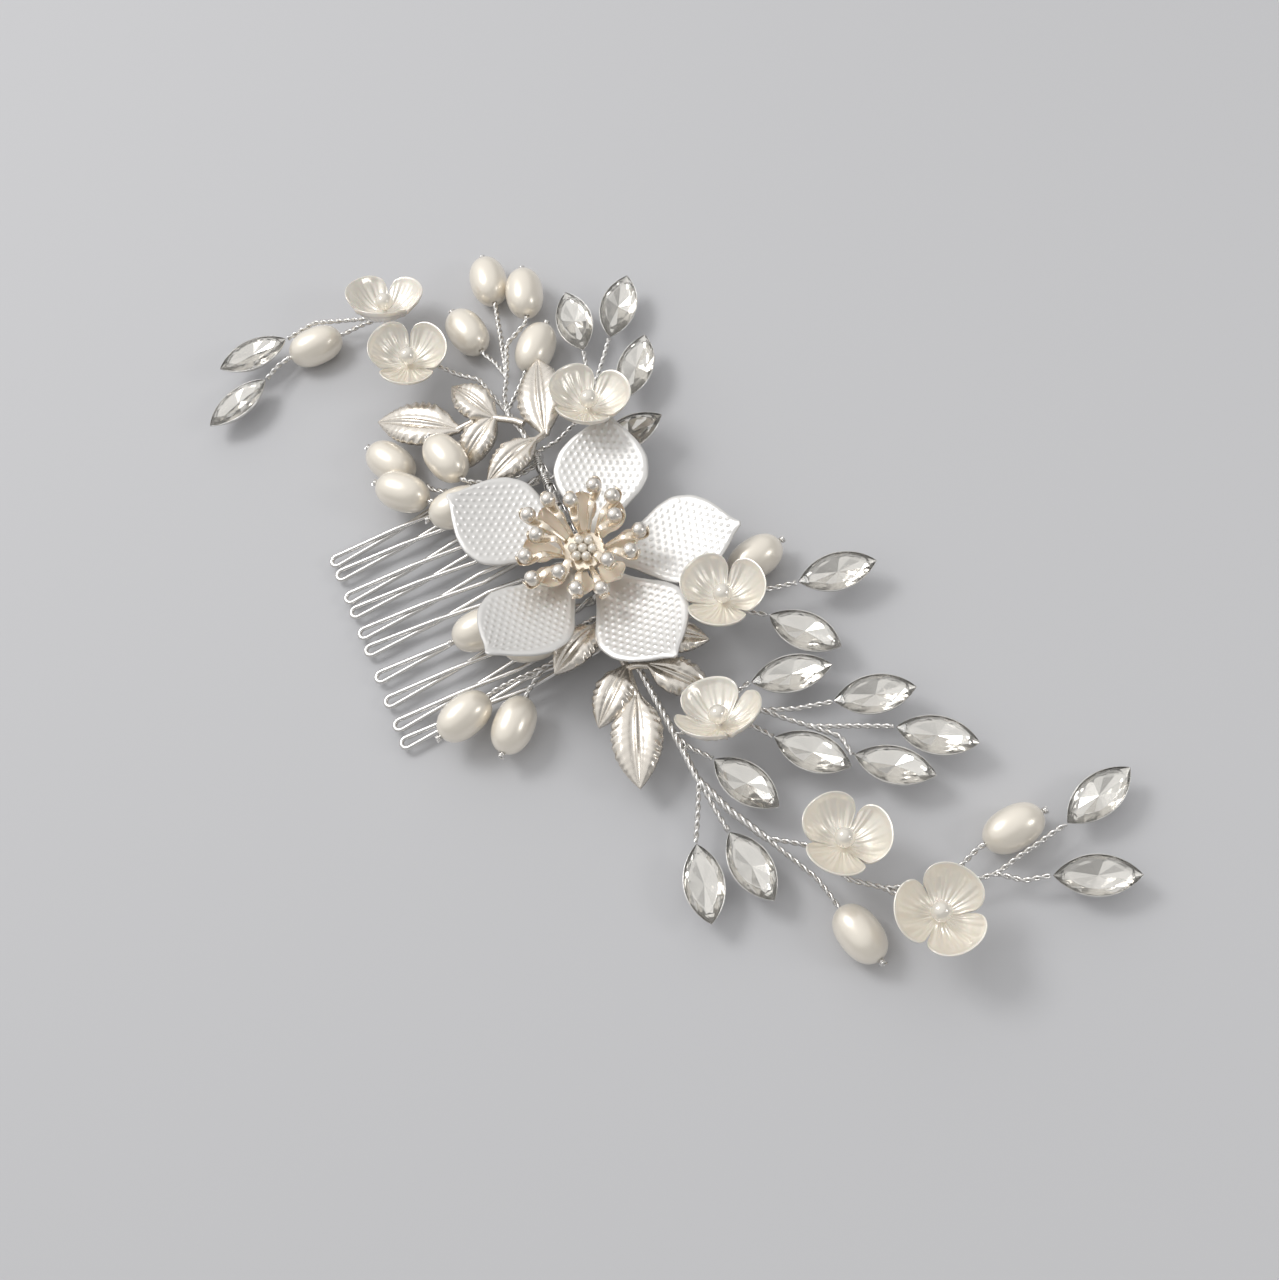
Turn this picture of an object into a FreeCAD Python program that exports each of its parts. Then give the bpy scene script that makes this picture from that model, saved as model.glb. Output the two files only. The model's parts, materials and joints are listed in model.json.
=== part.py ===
"""Bridal hair comb: a ten-tine wire comb that carries one large stamped flower, seven small pearlised
flowers, sixteen rice pearls, eighteen claw-set marquise stones and four cast leaf sprigs on wire vines.

Frame, in millimetres: X runs along the comb's spine, +Y points from the tine tips to the spine, +Z points
away from the wearer's head. The origin is the middle of the spine's axis.
"""

import FreeCAD
import Part

import math
import os

from FreeCAD import Placement, Rotation, Vector

# --- Driving sizes -------------------------------------------------------------------------------------

SIZES = {
    # comb
    "tine_count": 10,
    "tine_pitch": 4.9,
    "tine_length": 46,
    "tine_wire": 0.95,
    "tine_gap": 2.2,
    "tine_droop": 2.5,
    "neck_length": 12,
    "bow_reach": 7,
    "crossing_reach": 19,
    "spine_diameter": 1.3,
    "spine_overhang": 1.5,
    "binding_wire": 0.35,
    "seat_gap": 0.02,
    # vines
    "rope_diameter": 1.5,
    "twist_diameter": 1.0,
    # rice pearls
    "pearl_length": 11.5,
    "pearl_diameter": 7.8,
    "pearl_bore": 0.8,
    "bore_clearance": 0.05,
    "pearl_end_gap": 0.1,
    "tip_knot_diameter": 1.2,
    "tip_knot_length": 0.7,
    # claw-set marquise stones
    "stone_length": 15,
    "stone_width": 7,
    "crown_height": 1.3,
    "pavilion_depth": 1.8,
    "cup_wall": 0.35,
    "cup_floor": 0.4,
    "claw_reach": 1.1,
    # large flower
    "hub_offset": 5.8,
    "hub_aside": 0.8,
    "hub_post_diameter": 3,
    "hub_head_diameter": 8,
    "hub_head_height": 0.8,
    "hub_post_height": 3.2,
    "petal_length": 30,
    "petal_width": 18.6,
    "petal_root_width": 1.6,
    "petal_tip_width": 0.5,
    "petal_thickness": 0.5,
    "petal_dish_radius": 60,
    "petal_dish_centre": 13,
    # stamens and centre
    "stamen_wire": 0.5,
    "stamen_bead_diameter": 3,
    "stamen_count": 15,
    "paddle_count": 8,
    "paddle_length": 7.5,
    "paddle_width": 4.2,
    "paddle_thickness": 0.35,
    "centre_bead_diameter": 1.9,
    # small flowers
    "floret_reach": 8.2,
    "floret_depth": 4.6,
    "floret_thickness": 0.6,
    "floret_hub_diameter": 3,
    "floret_notch": 3.6,
    "seed_bead_diameter": 3.0,
    # cast leaves
    "large_leaf_length": 18.5,
    "large_leaf_width": 9.6,
    "small_leaf_length": 13.2,
    "small_leaf_width": 7.2,
    "leaf_thickness": 0.7,
    "leaf_bulge": 0.9,
    "leaf_arch": 1.2,
    "sprig_stem_diameter": 1.4,
}

doc = FreeCAD.newDocument("hair_comb")
sheet = doc.addObject("Spreadsheet::Sheet", "sizes")
for row, (alias, value) in enumerate(SIZES.items(), start=1):
    sheet.set(f"A{row}", alias)
    sheet.set(f"B{row}", str(value))
    sheet.setAlias(f"B{row}", alias)
doc.recompute()


def size(alias):
    """The value of one cell of the sheet."""
    return float(sheet.get(alias))


# --- Levels and half sizes that several pieces share ----------------------------------------------------

WIRE_SIDES = 6
THIN_SIDES = 5
CORE_SIDES = 4
GAP = size("seat_gap")
SPINE_RADIUS = size("spine_diameter") / 2
TINE_WIRE = size("tine_wire")
TINE_COUNT = int(size("tine_count"))
TINE_PITCH = size("tine_pitch")
COMB_HALF = (TINE_COUNT - 1) * TINE_PITCH / 2
SPINE_HALF = COMB_HALF + size("spine_overhang")
EYE_RADIUS = SPINE_RADIUS + GAP + TINE_WIRE
ROPE_RADIUS = size("rope_diameter") / 2
VINE_LEVEL = EYE_RADIUS + GAP + ROPE_RADIUS
BINDING = size("binding_wire")
HUB_LEVEL = VINE_LEVEL + ROPE_RADIUS + BINDING + 3 * GAP
PETAL_LEVEL = HUB_LEVEL + size("hub_post_height") / 2
CORE_WIRE = size("pearl_bore") - 2 * size("bore_clearance")


# --- Places --------------------------------------------------------------------------------------------


def left(out, up, rise=0.0):
    """A point so far outward from the spine's left end, up from its axis and above the vine's axis."""
    return Vector(-SPINE_HALF - out, up, VINE_LEVEL + rise)


def right(out, up, rise=0.0):
    """The same from the spine's right end."""
    return Vector(SPINE_HALF + out, up, VINE_LEVEL + rise)


def bearing(heading, climb=0.0):
    """The unit vector of a heading, counted from +X towards +Y, and a climb, both in degrees."""
    a, c = math.radians(heading), math.radians(climb)
    return Vector(math.cos(a) * math.cos(c), math.sin(a) * math.cos(c), math.sin(c))


def aim(heading, climb=0.0, roll=0.0):
    """The rotation that turns +X to a heading and a climb, after a roll about its own length."""
    turn = Rotation(Vector(0, 0, 1), heading) * Rotation(Vector(0, 1, 0), -climb)
    return turn * Rotation(Vector(1, 0, 0), roll)


# --- Solid makers --------------------------------------------------------------------------------------


def facet(corners):
    """One flat face."""
    return Part.Face(Part.makePolygon(list(corners) + [corners[0]]))


def closed_solid(facets):
    """The solid that a closed set of flat faces bounds."""
    shell = Part.makeShell(facets)
    shell.sewShape()
    solid = Part.makeSolid(shell)
    if solid.Volume < 0:
        solid.reverse()
    return solid


def skin(rings, flat=True):
    """The side faces between loops of equally many points: flat quads, or pairs of triangles."""
    faces = []
    for low, high in zip(rings, rings[1:]):
        for i in range(len(low)):
            j = (i + 1) % len(low)
            if flat:
                faces.append(facet([low[i], low[j], high[j], high[i]]))
            else:
                faces.append(facet([low[i], low[j], high[j]]))
                faces.append(facet([low[i], high[j], high[i]]))
    return faces


def stacked(rings):
    """The solid through a row of parallel, similar loops."""
    return closed_solid(skin(rings) + [facet(rings[0]), facet(rings[-1])])


def wire(route, diameter, sides=WIRE_SIDES):
    """A wire of straight runs, mitred where it bends. Its corners lie on the round wire's surface."""
    runs = [(b - a).normalize() for a, b in zip(route, route[1:])]
    start = runs[0]
    side = start.cross(Vector(0, 0, 1))
    if side.Length < 0.1:
        side = start.cross(Vector(0, 1, 0))
    side.normalize()
    other = start.cross(side)
    ring = []
    for i in range(sides):
        turn = 2 * math.pi * (i + 0.5) / sides
        ring.append(route[0] + (side * math.cos(turn) + other * math.sin(turn)) * (diameter / 2))
    rings = [ring]
    for i, run in enumerate(runs):
        after = runs[i + 1] if i + 1 < len(runs) else run
        normal = (run + after).normalize()
        rings.append([p + run * ((route[i + 1] - p).dot(normal) / run.dot(normal)) for p in rings[-1]])
    return closed_solid(skin(rings) + [facet(rings[0]), facet(rings[-1])])


def fused(solids):
    """One solid from pieces that overlap."""
    whole = solids[0].multiFuse(solids[1:]) if len(solids) > 1 else solids[0]
    return whole.removeSplitter()


def placed(form, position, rotation):
    """A copy of a shape at a place."""
    copy = form.copy()
    copy.Placement = Placement(position, rotation)
    return copy


def add(label, shape, placement=None):
    """One sub-part of the comb."""
    piece = doc.addObject("Part::Feature", label)
    piece.Label = label
    piece.Shape = shape
    if placement:
        piece.Placement = placement
    PIECES.append(piece)
    return piece


def add_group(label, solids):
    """One sub-part that is a group of separate solids."""
    return add(label, Part.makeCompound(solids))


PIECES = []


# --- Comb ----------------------------------------------------------------------------------------------

# How far each tine's tip stands to the right of its root: the tines are bent by hand.
TIP_LEANS = [1.5, 0.0, 0.7, -0.7, -0.5, -1.4, 0.0, 0.8, 1.3, 0.4]
U_BEND_STEPS = 4


def make_spine():
    """The straight wire that the tines hang from."""
    spine = doc.addObject("Part::Cylinder", "comb_spine")
    spine.setExpression("Radius", "sizes.spine_diameter / 2")
    spine.setExpression(
        "Height", "(sizes.tine_count - 1) * sizes.tine_pitch + 2 * sizes.spine_overhang"
    )
    spine.Placement = Placement(Vector(-SPINE_HALF, 0, 0), Rotation(Vector(0, 1, 0), 90))
    PIECES.append(spine)


def tine_point(root_x, lean, down, aside, lift=0.0):
    """A point of a tine, so far down from the spine and aside from its middle line."""
    share = down / size("tine_length")
    return Vector(root_x + lean * share + aside, -down, lift - size("tine_droop") * share)


def make_tine(root_x, lean):
    """One hairpin: an eye on the spine, a twisted neck, and two legs that cross once above the U bend."""
    neck_end = size("neck_length")
    bow = neck_end + size("bow_reach")
    crossing = neck_end + size("crossing_reach")
    spread = size("tine_gap") / 2
    bend_start = size("tine_length") - TINE_WIRE / 2 - spread
    step_over = TINE_WIRE / 2 + GAP
    leg = [(neck_end, TINE_WIRE / 2, 0), (bow, spread, 0), (crossing, 0, step_over)]
    leg.append((bend_start, -spread, 0))
    bend = []
    for i in range(1, U_BEND_STEPS):
        turn = math.pi * i / U_BEND_STEPS
        bend.append((bend_start + spread * math.sin(turn), -spread * math.cos(turn), 0))
    back = [(down, -aside, -lift) for down, aside, lift in reversed(leg)]
    route = [tine_point(root_x, lean, *p) for p in leg + bend + back]
    neck_top = tine_point(root_x, lean, SPINE_RADIUS + GAP + TINE_WIRE / 2, 0)
    neck = wire([neck_top, tine_point(root_x, lean, neck_end, 0)], 2 * TINE_WIRE)
    return fused([make_eye(root_x), neck, wire(route, TINE_WIRE, THIN_SIDES)])


def make_eye(root_x):
    """The end of the tine's wire, wound round the spine."""
    flat = math.cos(math.pi / WIRE_SIDES)
    loops = []
    for radius in (EYE_RADIUS, (SPINE_RADIUS + GAP) / flat):
        for side in (-1, 1):
            loops.append(
                [
                    Vector(
                        root_x + side * TINE_WIRE,
                        radius * math.cos(2 * math.pi * (i + 0.5) / WIRE_SIDES),
                        radius * math.sin(2 * math.pi * (i + 0.5) / WIRE_SIDES),
                    )
                    for i in range(WIRE_SIDES)
                ]
            )
    outer_left, outer_right, inner_left, inner_right = loops
    return closed_solid(skin([outer_left, outer_right, inner_right, inner_left, outer_left]))


def root_x(index):
    """Where a tine meets the spine."""
    return -COMB_HALF + index * TINE_PITCH


def make_binding():
    """The fine wire wound round spine and vines, with its turns between the tines' eyes."""
    low = (EYE_RADIUS + BINDING / 2 + GAP) / math.cos(math.radians(30))
    high = (ROPE_RADIUS + BINDING / 2 + GAP) / math.cos(math.radians(30))
    turn = []
    for angle in (180, 240, 300, 360):
        turn.append((low * math.cos(math.radians(angle)), low * math.sin(math.radians(angle))))
    for angle in (0, 60, 120):
        y, z = high * math.cos(math.radians(angle)), high * math.sin(math.radians(angle))
        turn.append((y, z + VINE_LEVEL))
    route = []
    for i in range(TINE_COUNT - 1):
        for k, (y, z) in enumerate(turn):
            x = -COMB_HALF + TINE_PITCH * (i + 0.5 + k / len(turn))
            route.append(Vector(x, y, z))
    add("binding_wire", wire(route, BINDING, CORE_SIDES))


make_spine()
add_group("comb_tines", [make_tine(root_x(i), TIP_LEANS[i % len(TIP_LEANS)]) for i in range(TINE_COUNT)])
make_binding()


# --- Forms that are made once and placed many times ------------------------------------------------------

# A rice pearl's girth at shares of its length, as shares of its full diameter.
PEARL_GIRTHS = ((0.0, 0.36), (0.1, 0.7), (0.34, 1.0), (0.66, 1.0), (0.9, 0.7), (1.0, 0.36))
PEARL_SIDES = 8


def make_pearl_form():
    """A rice pearl along +X from its base, with its bore."""
    length = size("pearl_length")
    radius = size("pearl_diameter") / 2
    rings = [across_loop(radius * girth, length * along, PEARL_SIDES) for along, girth in PEARL_GIRTHS]
    bore = [across_loop(size("pearl_bore") / 2, x, WIRE_SIDES) for x in (-1, length + 1)]
    return stacked(rings).cut(stacked(bore))


def across_loop(radius, x, sides):
    """A regular polygon about X, with a corner at its lowest point."""
    turns = [2 * math.pi * i / sides for i in range(sides)]
    return [Vector(x, radius * math.sin(a), -radius * math.cos(a)) for a in turns]


# Where a marquise outline has its corners, as shares of its half length.
MARQUISE_CORNERS = (1.0, 0.55, 0.0, -0.55, -1.0)
TABLE_SHARE = 0.6
# The outline of a cup's flat foot, as a share of the stone's.
FOOT_SHARE = 0.85


def marquise(scale, level, margin=0.0):
    """A marquise outline along X at a level, a loop of corners on two arcs that meet in points."""
    half_length = size("stone_length") / 2
    half_width = size("stone_width") / 2
    arc_radius = (half_length**2 + half_width**2) / (2 * half_width)
    side = []
    for share in MARQUISE_CORNERS:
        x = half_length * share
        y = math.sqrt(arc_radius**2 - x**2) - (arc_radius - half_width)
        side.append(((x * (scale + margin / half_length), y * (scale + margin / half_width))))
    loop = [Vector(x, y, level) for x, y in side]
    loop += [Vector(x, -y, level) for x, y in side[-2:0:-1]]
    return loop


def make_stone_form():
    """A faceted marquise stone along X about its middle, with its girdle at level 0."""
    culet = marquise(0.35, -size("pavilion_depth"))
    table = marquise(TABLE_SHARE, size("crown_height"))
    return stacked([culet, marquise(1.0, 0), table])


def make_cup_form():
    """The silver cup under a stone: its wall follows the stone and its rim folds over the stone's points."""
    wall = size("cup_wall")
    keel = -size("pavilion_depth") - GAP
    foot = marquise(FOOT_SHARE, keel - size("cup_floor"), wall + GAP)
    outer = [foot, folded(marquise(1.0, wall, wall + GAP), wall)]
    inner = [folded(marquise(1.0, wall, GAP), 0), marquise(1.0, -GAP, GAP), marquise(0.35, keel, GAP)]
    return closed_solid(skin(outer + inner, flat=False) + [facet(outer[0]), facet(inner[-1])])


def folded(rim, wall):
    """A cup's rim with its corner at each of the stone's points lifted and drawn in over the crown."""
    inward = size("claw_reach")
    slope = size("crown_height") / (size("stone_length") / 2 * (1 - TABLE_SHARE))
    lift = inward * slope + 4 * GAP + wall - size("cup_wall")
    corners = [Vector(corner) for corner in rim]
    half_way = len(rim) // 2
    corners[0] += Vector(-inward, 0, lift)
    corners[half_way] += Vector(inward, 0, lift)
    return corners


# Where a small flower's loops have their corners, as shares of half a petal from its middle line.
FLORET_CORNERS = (-1.0, -0.8, -0.27, 0.27, 0.8)


def make_floret_form():
    """A pearlised flower of three joined cupped petals, open towards +Z, with its underside at level 0."""
    thickness = size("floret_thickness")
    lower = [floret_loop(share, 0) for share in (0.0, 0.55, 1.0)]
    upper = [floret_loop(share, thickness) for share in (1.0, 0.55, 0.0)]
    return closed_solid(skin(lower + upper, flat=False) + [facet(lower[0]), facet(upper[-1])])


def floret_loop(share, level):
    """The loop at a share of the way from the flower's hub to its rim."""
    hub = size("floret_hub_diameter") / 2
    notch = size("floret_notch")
    loop = []
    for heading in (90, 210, 330):
        for v in FLORET_CORNERS:
            rim = notch + (size("floret_reach") - notch) * (1 - abs(v) ** 3) ** 0.33
            out = hub + (rim - hub) * share
            rise = size("floret_depth") * ((out - hub) / (size("floret_reach") - hub)) ** 1.55
            turn = math.radians(heading + 60 * v)
            loop.append(Vector(out * math.cos(turn), out * math.sin(turn), level + rise))
    return loop


def regular_loop(radius, level, sides):
    """A regular polygon about Z."""
    turns = [2 * math.pi * (i + 0.5) / sides for i in range(sides)]
    return [Vector(radius * math.cos(a), radius * math.sin(a), level) for a in turns]


def sheet_solid(upper, lower):
    """The solid between two grids of points: triangles above and below, and a rim."""
    faces = []
    rows, columns = len(upper), len(upper[0])
    for grid in (upper, lower):
        for i in range(rows - 1):
            for j in range(columns - 1):
                a, b, c, d = grid[i][j], grid[i][j + 1], grid[i + 1][j + 1], grid[i + 1][j]
                faces += [facet([a, b, c]), facet([a, c, d])]
    edge = [(0, j) for j in range(columns)] + [(i, columns - 1) for i in range(1, rows)]
    edge += [(rows - 1, j) for j in range(columns - 2, -1, -1)] + [(i, 0) for i in range(rows - 2, 0, -1)]
    for (i, j), (k, m) in zip(edge, edge[1:] + edge[:1]):
        faces.append(facet([upper[i][j], upper[k][m], lower[k][m]]))
        faces.append(facet([upper[i][j], lower[k][m], lower[i][j]]))
    return closed_solid(faces)


def make_bead(diameter, sides=6):
    """A small bead about the origin."""
    radius = diameter / 2
    levels = ((0.62, -0.78), (1.0, 0.0), (0.62, 0.78))
    return stacked([regular_loop(radius * across, radius * level, sides) for across, level in levels])


# The share of a leaf's length at which it has a share of its full width.
LEAF_WIDTHS = ((0.0, 0.0), (0.16, 0.62), (0.32, 0.9), (0.5, 1.0), (0.68, 0.78), (0.84, 0.5), (1.0, 0.0))
TOOTH_DEPTH = 0.12


def make_leaf(length, width):
    """A cast leaf along +X from its base, with a sunk midrib, two bulged halves and toothed edges."""
    thickness = size("leaf_thickness")
    upper = []
    for i, (along, across) in enumerate(LEAF_WIDTHS):
        arch = size("leaf_arch") * math.sin(math.pi * along)
        half = width / 2 * across
        bulge = size("leaf_bulge") * across
        tooth = 1 + TOOTH_DEPTH * (i % 2) * (0 < across)
        row = []
        for side, lift in ((-tooth, -0.15), (-0.5, 1.0), (0, 0.35), (0.5, 1.0), (tooth, -0.15)):
            row.append(Vector(length * along, half * side, arch + bulge * lift))
        upper.append(row)
    return leaf_solid(upper, thickness)


def leaf_solid(upper, thickness):
    """The solid under a leaf's face, which comes to a point at both ends."""
    drop = Vector(0, 0, -thickness)
    faces = []
    for i in range(len(upper) - 1):
        for j in range(len(upper[0]) - 1):
            a, b, c, d = upper[i][j], upper[i][j + 1], upper[i + 1][j + 1], upper[i + 1][j]
            for shift, corners in ((Vector(), (a, b, c, d)), (drop, (a, b, c, d))):
                a2, b2, c2, d2 = [p + shift for p in corners]
                if i == 0:
                    faces.append(facet([a2, c2, d2]))
                elif i == len(upper) - 2:
                    faces.append(facet([a2, b2, c2]))
                else:
                    faces += [facet([a2, b2, c2]), facet([a2, c2, d2])]
    for j in (0, -1):
        for i in range(len(upper) - 1):
            a, b = upper[i][j], upper[i + 1][j]
            faces += [facet([a, b, b + drop]), facet([a, b + drop, a + drop])]
    return closed_solid(faces)


# The large petal's half outline: shares of its length, and of half its width.
PETAL_OUTLINE = (
    (0.16, 0.24), (0.28, 0.41), (0.4, 0.68), (0.5, 0.9), (0.6, 1.0), (0.7, 0.95), (0.8, 0.76), (0.89, 0.45), (0.95, 0.19)
)
PETAL_COLUMNS = (-1.0, -0.5, 0.0, 0.5, 1.0)


def make_petal_form():
    """A large stamped petal along +X from the hub's axis, a dish with a pointed outline."""
    length = size("petal_length")
    root = (size("hub_post_diameter") / 2 + GAP, size("petal_root_width") / 2)
    tip = (length, size("petal_tip_width") / 2)
    outline = [root] + [(x * length, y * size("petal_width") / 2) for x, y in PETAL_OUTLINE] + [tip]
    upper = [[petal_point(x, half * v) for v in PETAL_COLUMNS] for x, half in outline]
    lower = [[p - Vector(0, 0, size("petal_thickness")) for p in row] for row in upper]
    return sheet_solid(upper, lower)


def petal_point(x, y):
    """A point of the petal's upper face, level 0 at the hub's axis."""
    centre = size("petal_dish_centre")
    return Vector(x, y, ((x - centre) ** 2 + y**2 - centre**2) / (2 * size("petal_dish_radius")))


PEARL = make_pearl_form()
STONE = make_stone_form()
CUP = make_cup_form()
FLORET = make_floret_form()
PETAL = make_petal_form()


# --- Large flower ----------------------------------------------------------------------------------------

HUB_CENTRE = Vector(size("hub_offset"), size("hub_aside"), 0)
HEAD_TOP = HUB_LEVEL + size("hub_post_height") + size("hub_head_height")

# Each large petal's heading and tilt: the petals are set by hand.
LARGE_PETALS = ((149, 4), (221, 7), (303, 18), (14, 7), (74, 3))


def make_hub():
    """The post that stands on the vine and carries the petals, with its round head."""
    post = doc.addObject("Part::Cylinder", "hub_post")
    post.setExpression("Radius", "sizes.hub_post_diameter / 2")
    post.setExpression("Height", "sizes.hub_post_height")
    post.Placement = Placement(HUB_CENTRE + Vector(0, 0, HUB_LEVEL), Rotation())
    head = doc.addObject("Part::Cylinder", "hub_head")
    head.setExpression("Radius", "sizes.hub_head_diameter / 2")
    head.setExpression("Height", "sizes.hub_head_height")
    head.Placement = Placement(post.Placement.Base + Vector(0, 0, size("hub_post_height")), Rotation())
    hub = doc.addObject("Part::Fuse", "flower_hub")
    hub.Base = post
    hub.Tool = head
    PIECES.append(hub)


def make_large_petals():
    """Five petals, one node each, about the hub's post."""
    for number, (heading, tilt) in enumerate(LARGE_PETALS, start=1):
        place = Placement(HUB_CENTRE + Vector(0, 0, PETAL_LEVEL), aim(heading, tilt))
        add(f"large_petal_{number}", PETAL, place)


def make_stamens():
    """The ring of curled wires on the hub's head, long and short in turn, each with a ball at its end."""
    count = int(size("stamen_count"))
    ring = size("hub_head_diameter") / 2 - size("stamen_wire")
    radius = size("stamen_bead_diameter") / 2
    wires, beads = [], []
    for i in range(count):
        heading = 360 * i / count
        reach, rise = STAMEN_ENDS[i % len(STAMEN_ENDS)]
        foot = HUB_CENTRE + bearing(heading) * ring + Vector(0, 0, HEAD_TOP + GAP)
        end = HUB_CENTRE + bearing(heading) * reach + Vector(0, 0, HEAD_TOP + rise)
        knee = foot + Vector(0, 0, KNEE_SHARE * rise)
        top = (knee + end) / 2 + Vector(0, 0, CREST_SHARE * rise)
        wires.append(wire([foot, knee, top, end], size("stamen_wire"), CORE_SIDES))
        out = (end - top).normalize()
        beads.append(placed(make_bead(2 * radius), end + out * (radius + GAP), Rotation()))
    add_group("stamen_wires", wires)
    add_group("stamen_beads", beads)


# How far from the hub's axis, and above its head, a stamen's wire ends.
STAMEN_ENDS = ((10.0, 5.0), (6.6, 6.6), (9.0, 5.6))
# A stamen rises straight by a share of that height, and its crest stands a share of it above the middle of its curl.
KNEE_SHARE = 0.6
CREST_SHARE = 0.35


def make_paddles():
    """The flat champagne paddles that lean out from the edge of the hub's head."""
    count = int(size("paddle_count"))
    length, width = size("paddle_length"), size("paddle_width")
    thickness = size("paddle_thickness")
    outline = []
    for turn in range(0, 360, 45):
        a = math.radians(turn + 22.5)
        outline.append(Vector(length / 2 * (1 + math.cos(a)), width / 2 * math.sin(a), 0))
    form = facet(outline).extrude(Vector(0, 0, thickness))
    level = Vector(0, 0, HEAD_TOP - size("hub_head_height") + GAP)
    start = size("hub_head_diameter") / 2 + thickness
    paddles = []
    for i in range(count):
        heading = 360 * (i + 0.5) / count
        paddles.append(placed(form, HUB_CENTRE + bearing(heading) * start + level, aim(heading, PADDLE_CLIMB)))
    add_group("champagne_paddles", paddles)


PADDLE_CLIMB = 25


def make_centre_beads():
    """One bead in the middle of the hub's head and six round it."""
    diameter = size("centre_bead_diameter")
    bead = make_bead(diameter)
    level = Vector(0, 0, HEAD_TOP + GAP - bead.BoundBox.ZMin)
    places = [Vector()] + [bearing(60 * i) * (diameter + GAP) for i in range(6)]
    add_group("centre_beads", [placed(bead, HUB_CENTRE + level + p, Rotation()) for p in places])


# --- Sprays: where each hanging piece meets its wire -------------------------------------------------------

# How far a pearl's axis lies below the vine's axis where the pearl rests on a table.
LOW = -(VINE_LEVEL + 0.3)


def middle(across, up, rise=0.0):
    """A point measured from the middle of the spine."""
    return Vector(across, up, VINE_LEVEL + rise)


# Rice pearls: the point of the wire where the pearl's base sits, and the heading and climb of its axis.
PEARLS = (
    (left(46.0, -26.3, LOW), 270, 0),
    (left(37.3, 5.5, LOW), 172, 0),
    (left(29.8, 10.3, LOW + 1.5), 164, 0),
    (left(27.7, -1.0, LOW), 191, 0),
    (left(18.0, 5.3, LOW + 0.6), 138, 0),
    (left(6.6, -24.1, LOW), 209, 0),
    (left(-1.6, -15.0, 2.2), 193, 0),
    (left(-2.2, -22.8, 0.5), 223, 0),
    (middle(-16.5, -12.2, 1.3), 268, 0),
    (middle(9.9, -17.1, 1.0), 270, 0),
    (middle(18.3, -9.4, 1.4), 256, 0),
    (right(-0.4, -26.5, 0.5), 288, 0),
    (right(2.3, -20.3, -0.9), 317, 0),
    (right(-4.1, 24.0, LOW + 0.3), 101, 0),
    (right(63.8, 42.8, LOW), 95, 0),
    (right(63.3, 15.4, LOW), 12, 0),
)

# Small flowers: the middle of the underside, the heading and angle of lean, and the turn of the petals.
FLORETS = (
    (left(44.9, -14.4, 1.0), 190, 38, 20),
    (left(30.2, -14.8, 1.5), 180, 5, 0),
    (left(-0.7, 14.2, 6.2), 200, 22, 5),
    (right(1.6, 21.3, 1.4), 60, 6, -12),
    (right(24.0, 11.3, 2.4), 205, 28, -30),
    (right(54.0, 21.9, 0.6), 90, 5, -8),
    (right(73.5, 30.2, 0.6), 45, 8, 38),
)

# Stones: the point of the wire that carries the cup, its heading, climb and roll, by spray.
STONES = {
    "left_end": (
        (left(50.0, -36.9, -1.6), 274, 4, 0),
        (left(43.0, -44.0, -2.0), 290, 0, 8),
    ),
    "left_top": (
        (left(15.9, 17.7, -1.0), 173, 0, 0),
        (left(16.4, 23.4, -1.2), 144, 0, 10),
        (left(1.3, 20.9, -0.9), 143, 0, 0),
        (middle(-16.3, 10.5, 0.0), 90, 8, 0),
    ),
    "right_near": (
        (right(3.9, 34.4, -0.6), 80, 0, 8),
        (right(7.4, 26.9, -0.6), 38, 0, 0),
    ),
    "right_middle": (
        (right(18.6, 18.3, -0.4), 77, 0, 0),
        (right(28.6, 30.2, -0.4), 74, 0, 6),
        (right(37.8, 38.1, -0.8), 52, 0, 0),
        (right(39.3, 29.2, -0.8), 49, 0, -6),
        (right(30.1, 17.8, -0.4), 42, 0, 0),
        (right(29.1, 6.4, -0.4), 27, 0, 0),
    ),
    "right_end": (
        (right(42.6, 3.5, -1.2), 8, 0, 0),
        (right(42.1, -2.5, -1.2), 347, 0, 0),
        (right(66.8, 56.7, -1.8), 107, 0, 0),
        (right(73.8, 50.2, -1.8), 65, 0, 6),
    ),
}


def lean_rotation(heading, angle, turn):
    """The rotation that turns a flower about its own axis and leans that axis towards a heading."""
    return Rotation(bearing(heading + 90), angle) * Rotation(Vector(0, 0, 1), turn)


def make_pearls():
    """Sixteen pearls, one node each, on their own wires."""
    for number, (base, heading, climb) in enumerate(PEARLS, start=1):
        start = base + bearing(heading, climb) * size("pearl_end_gap")
        add(f"pearl_{number:02d}", PEARL, Placement(start, aim(heading, climb)))


def make_florets():
    """Seven small flowers, one node each, and the group of seed beads in their middles."""
    beads = []
    bead = make_bead(size("seed_bead_diameter"))
    height = size("floret_thickness") + GAP - bead.BoundBox.ZMin
    for number, (base, heading, lean, turn) in enumerate(FLORETS, start=1):
        rotation = lean_rotation(heading, lean, turn)
        add(f"small_flower_{number}", FLORET, Placement(base, rotation))
        beads.append(placed(bead, base + rotation.multVec(Vector(0, 0, height)), rotation))
    add_group("seed_beads", beads)


def make_stones():
    """The stones and their cups, a node of each to a spray."""
    reach = size("stone_length") / 2 + size("cup_wall") + 2 * GAP
    for spray, seats in STONES.items():
        stones, cups = [], []
        for base, heading, climb, roll in seats:
            centre = base + bearing(heading, climb) * reach
            rotation = aim(heading, climb, roll)
            stones.append(placed(STONE, centre, rotation))
            cups.append(placed(CUP, centre, rotation))
        add_group(f"{spray}_stones", stones)
        add_group(f"{spray}_cups", cups)


# --- Vines -----------------------------------------------------------------------------------------------


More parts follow.
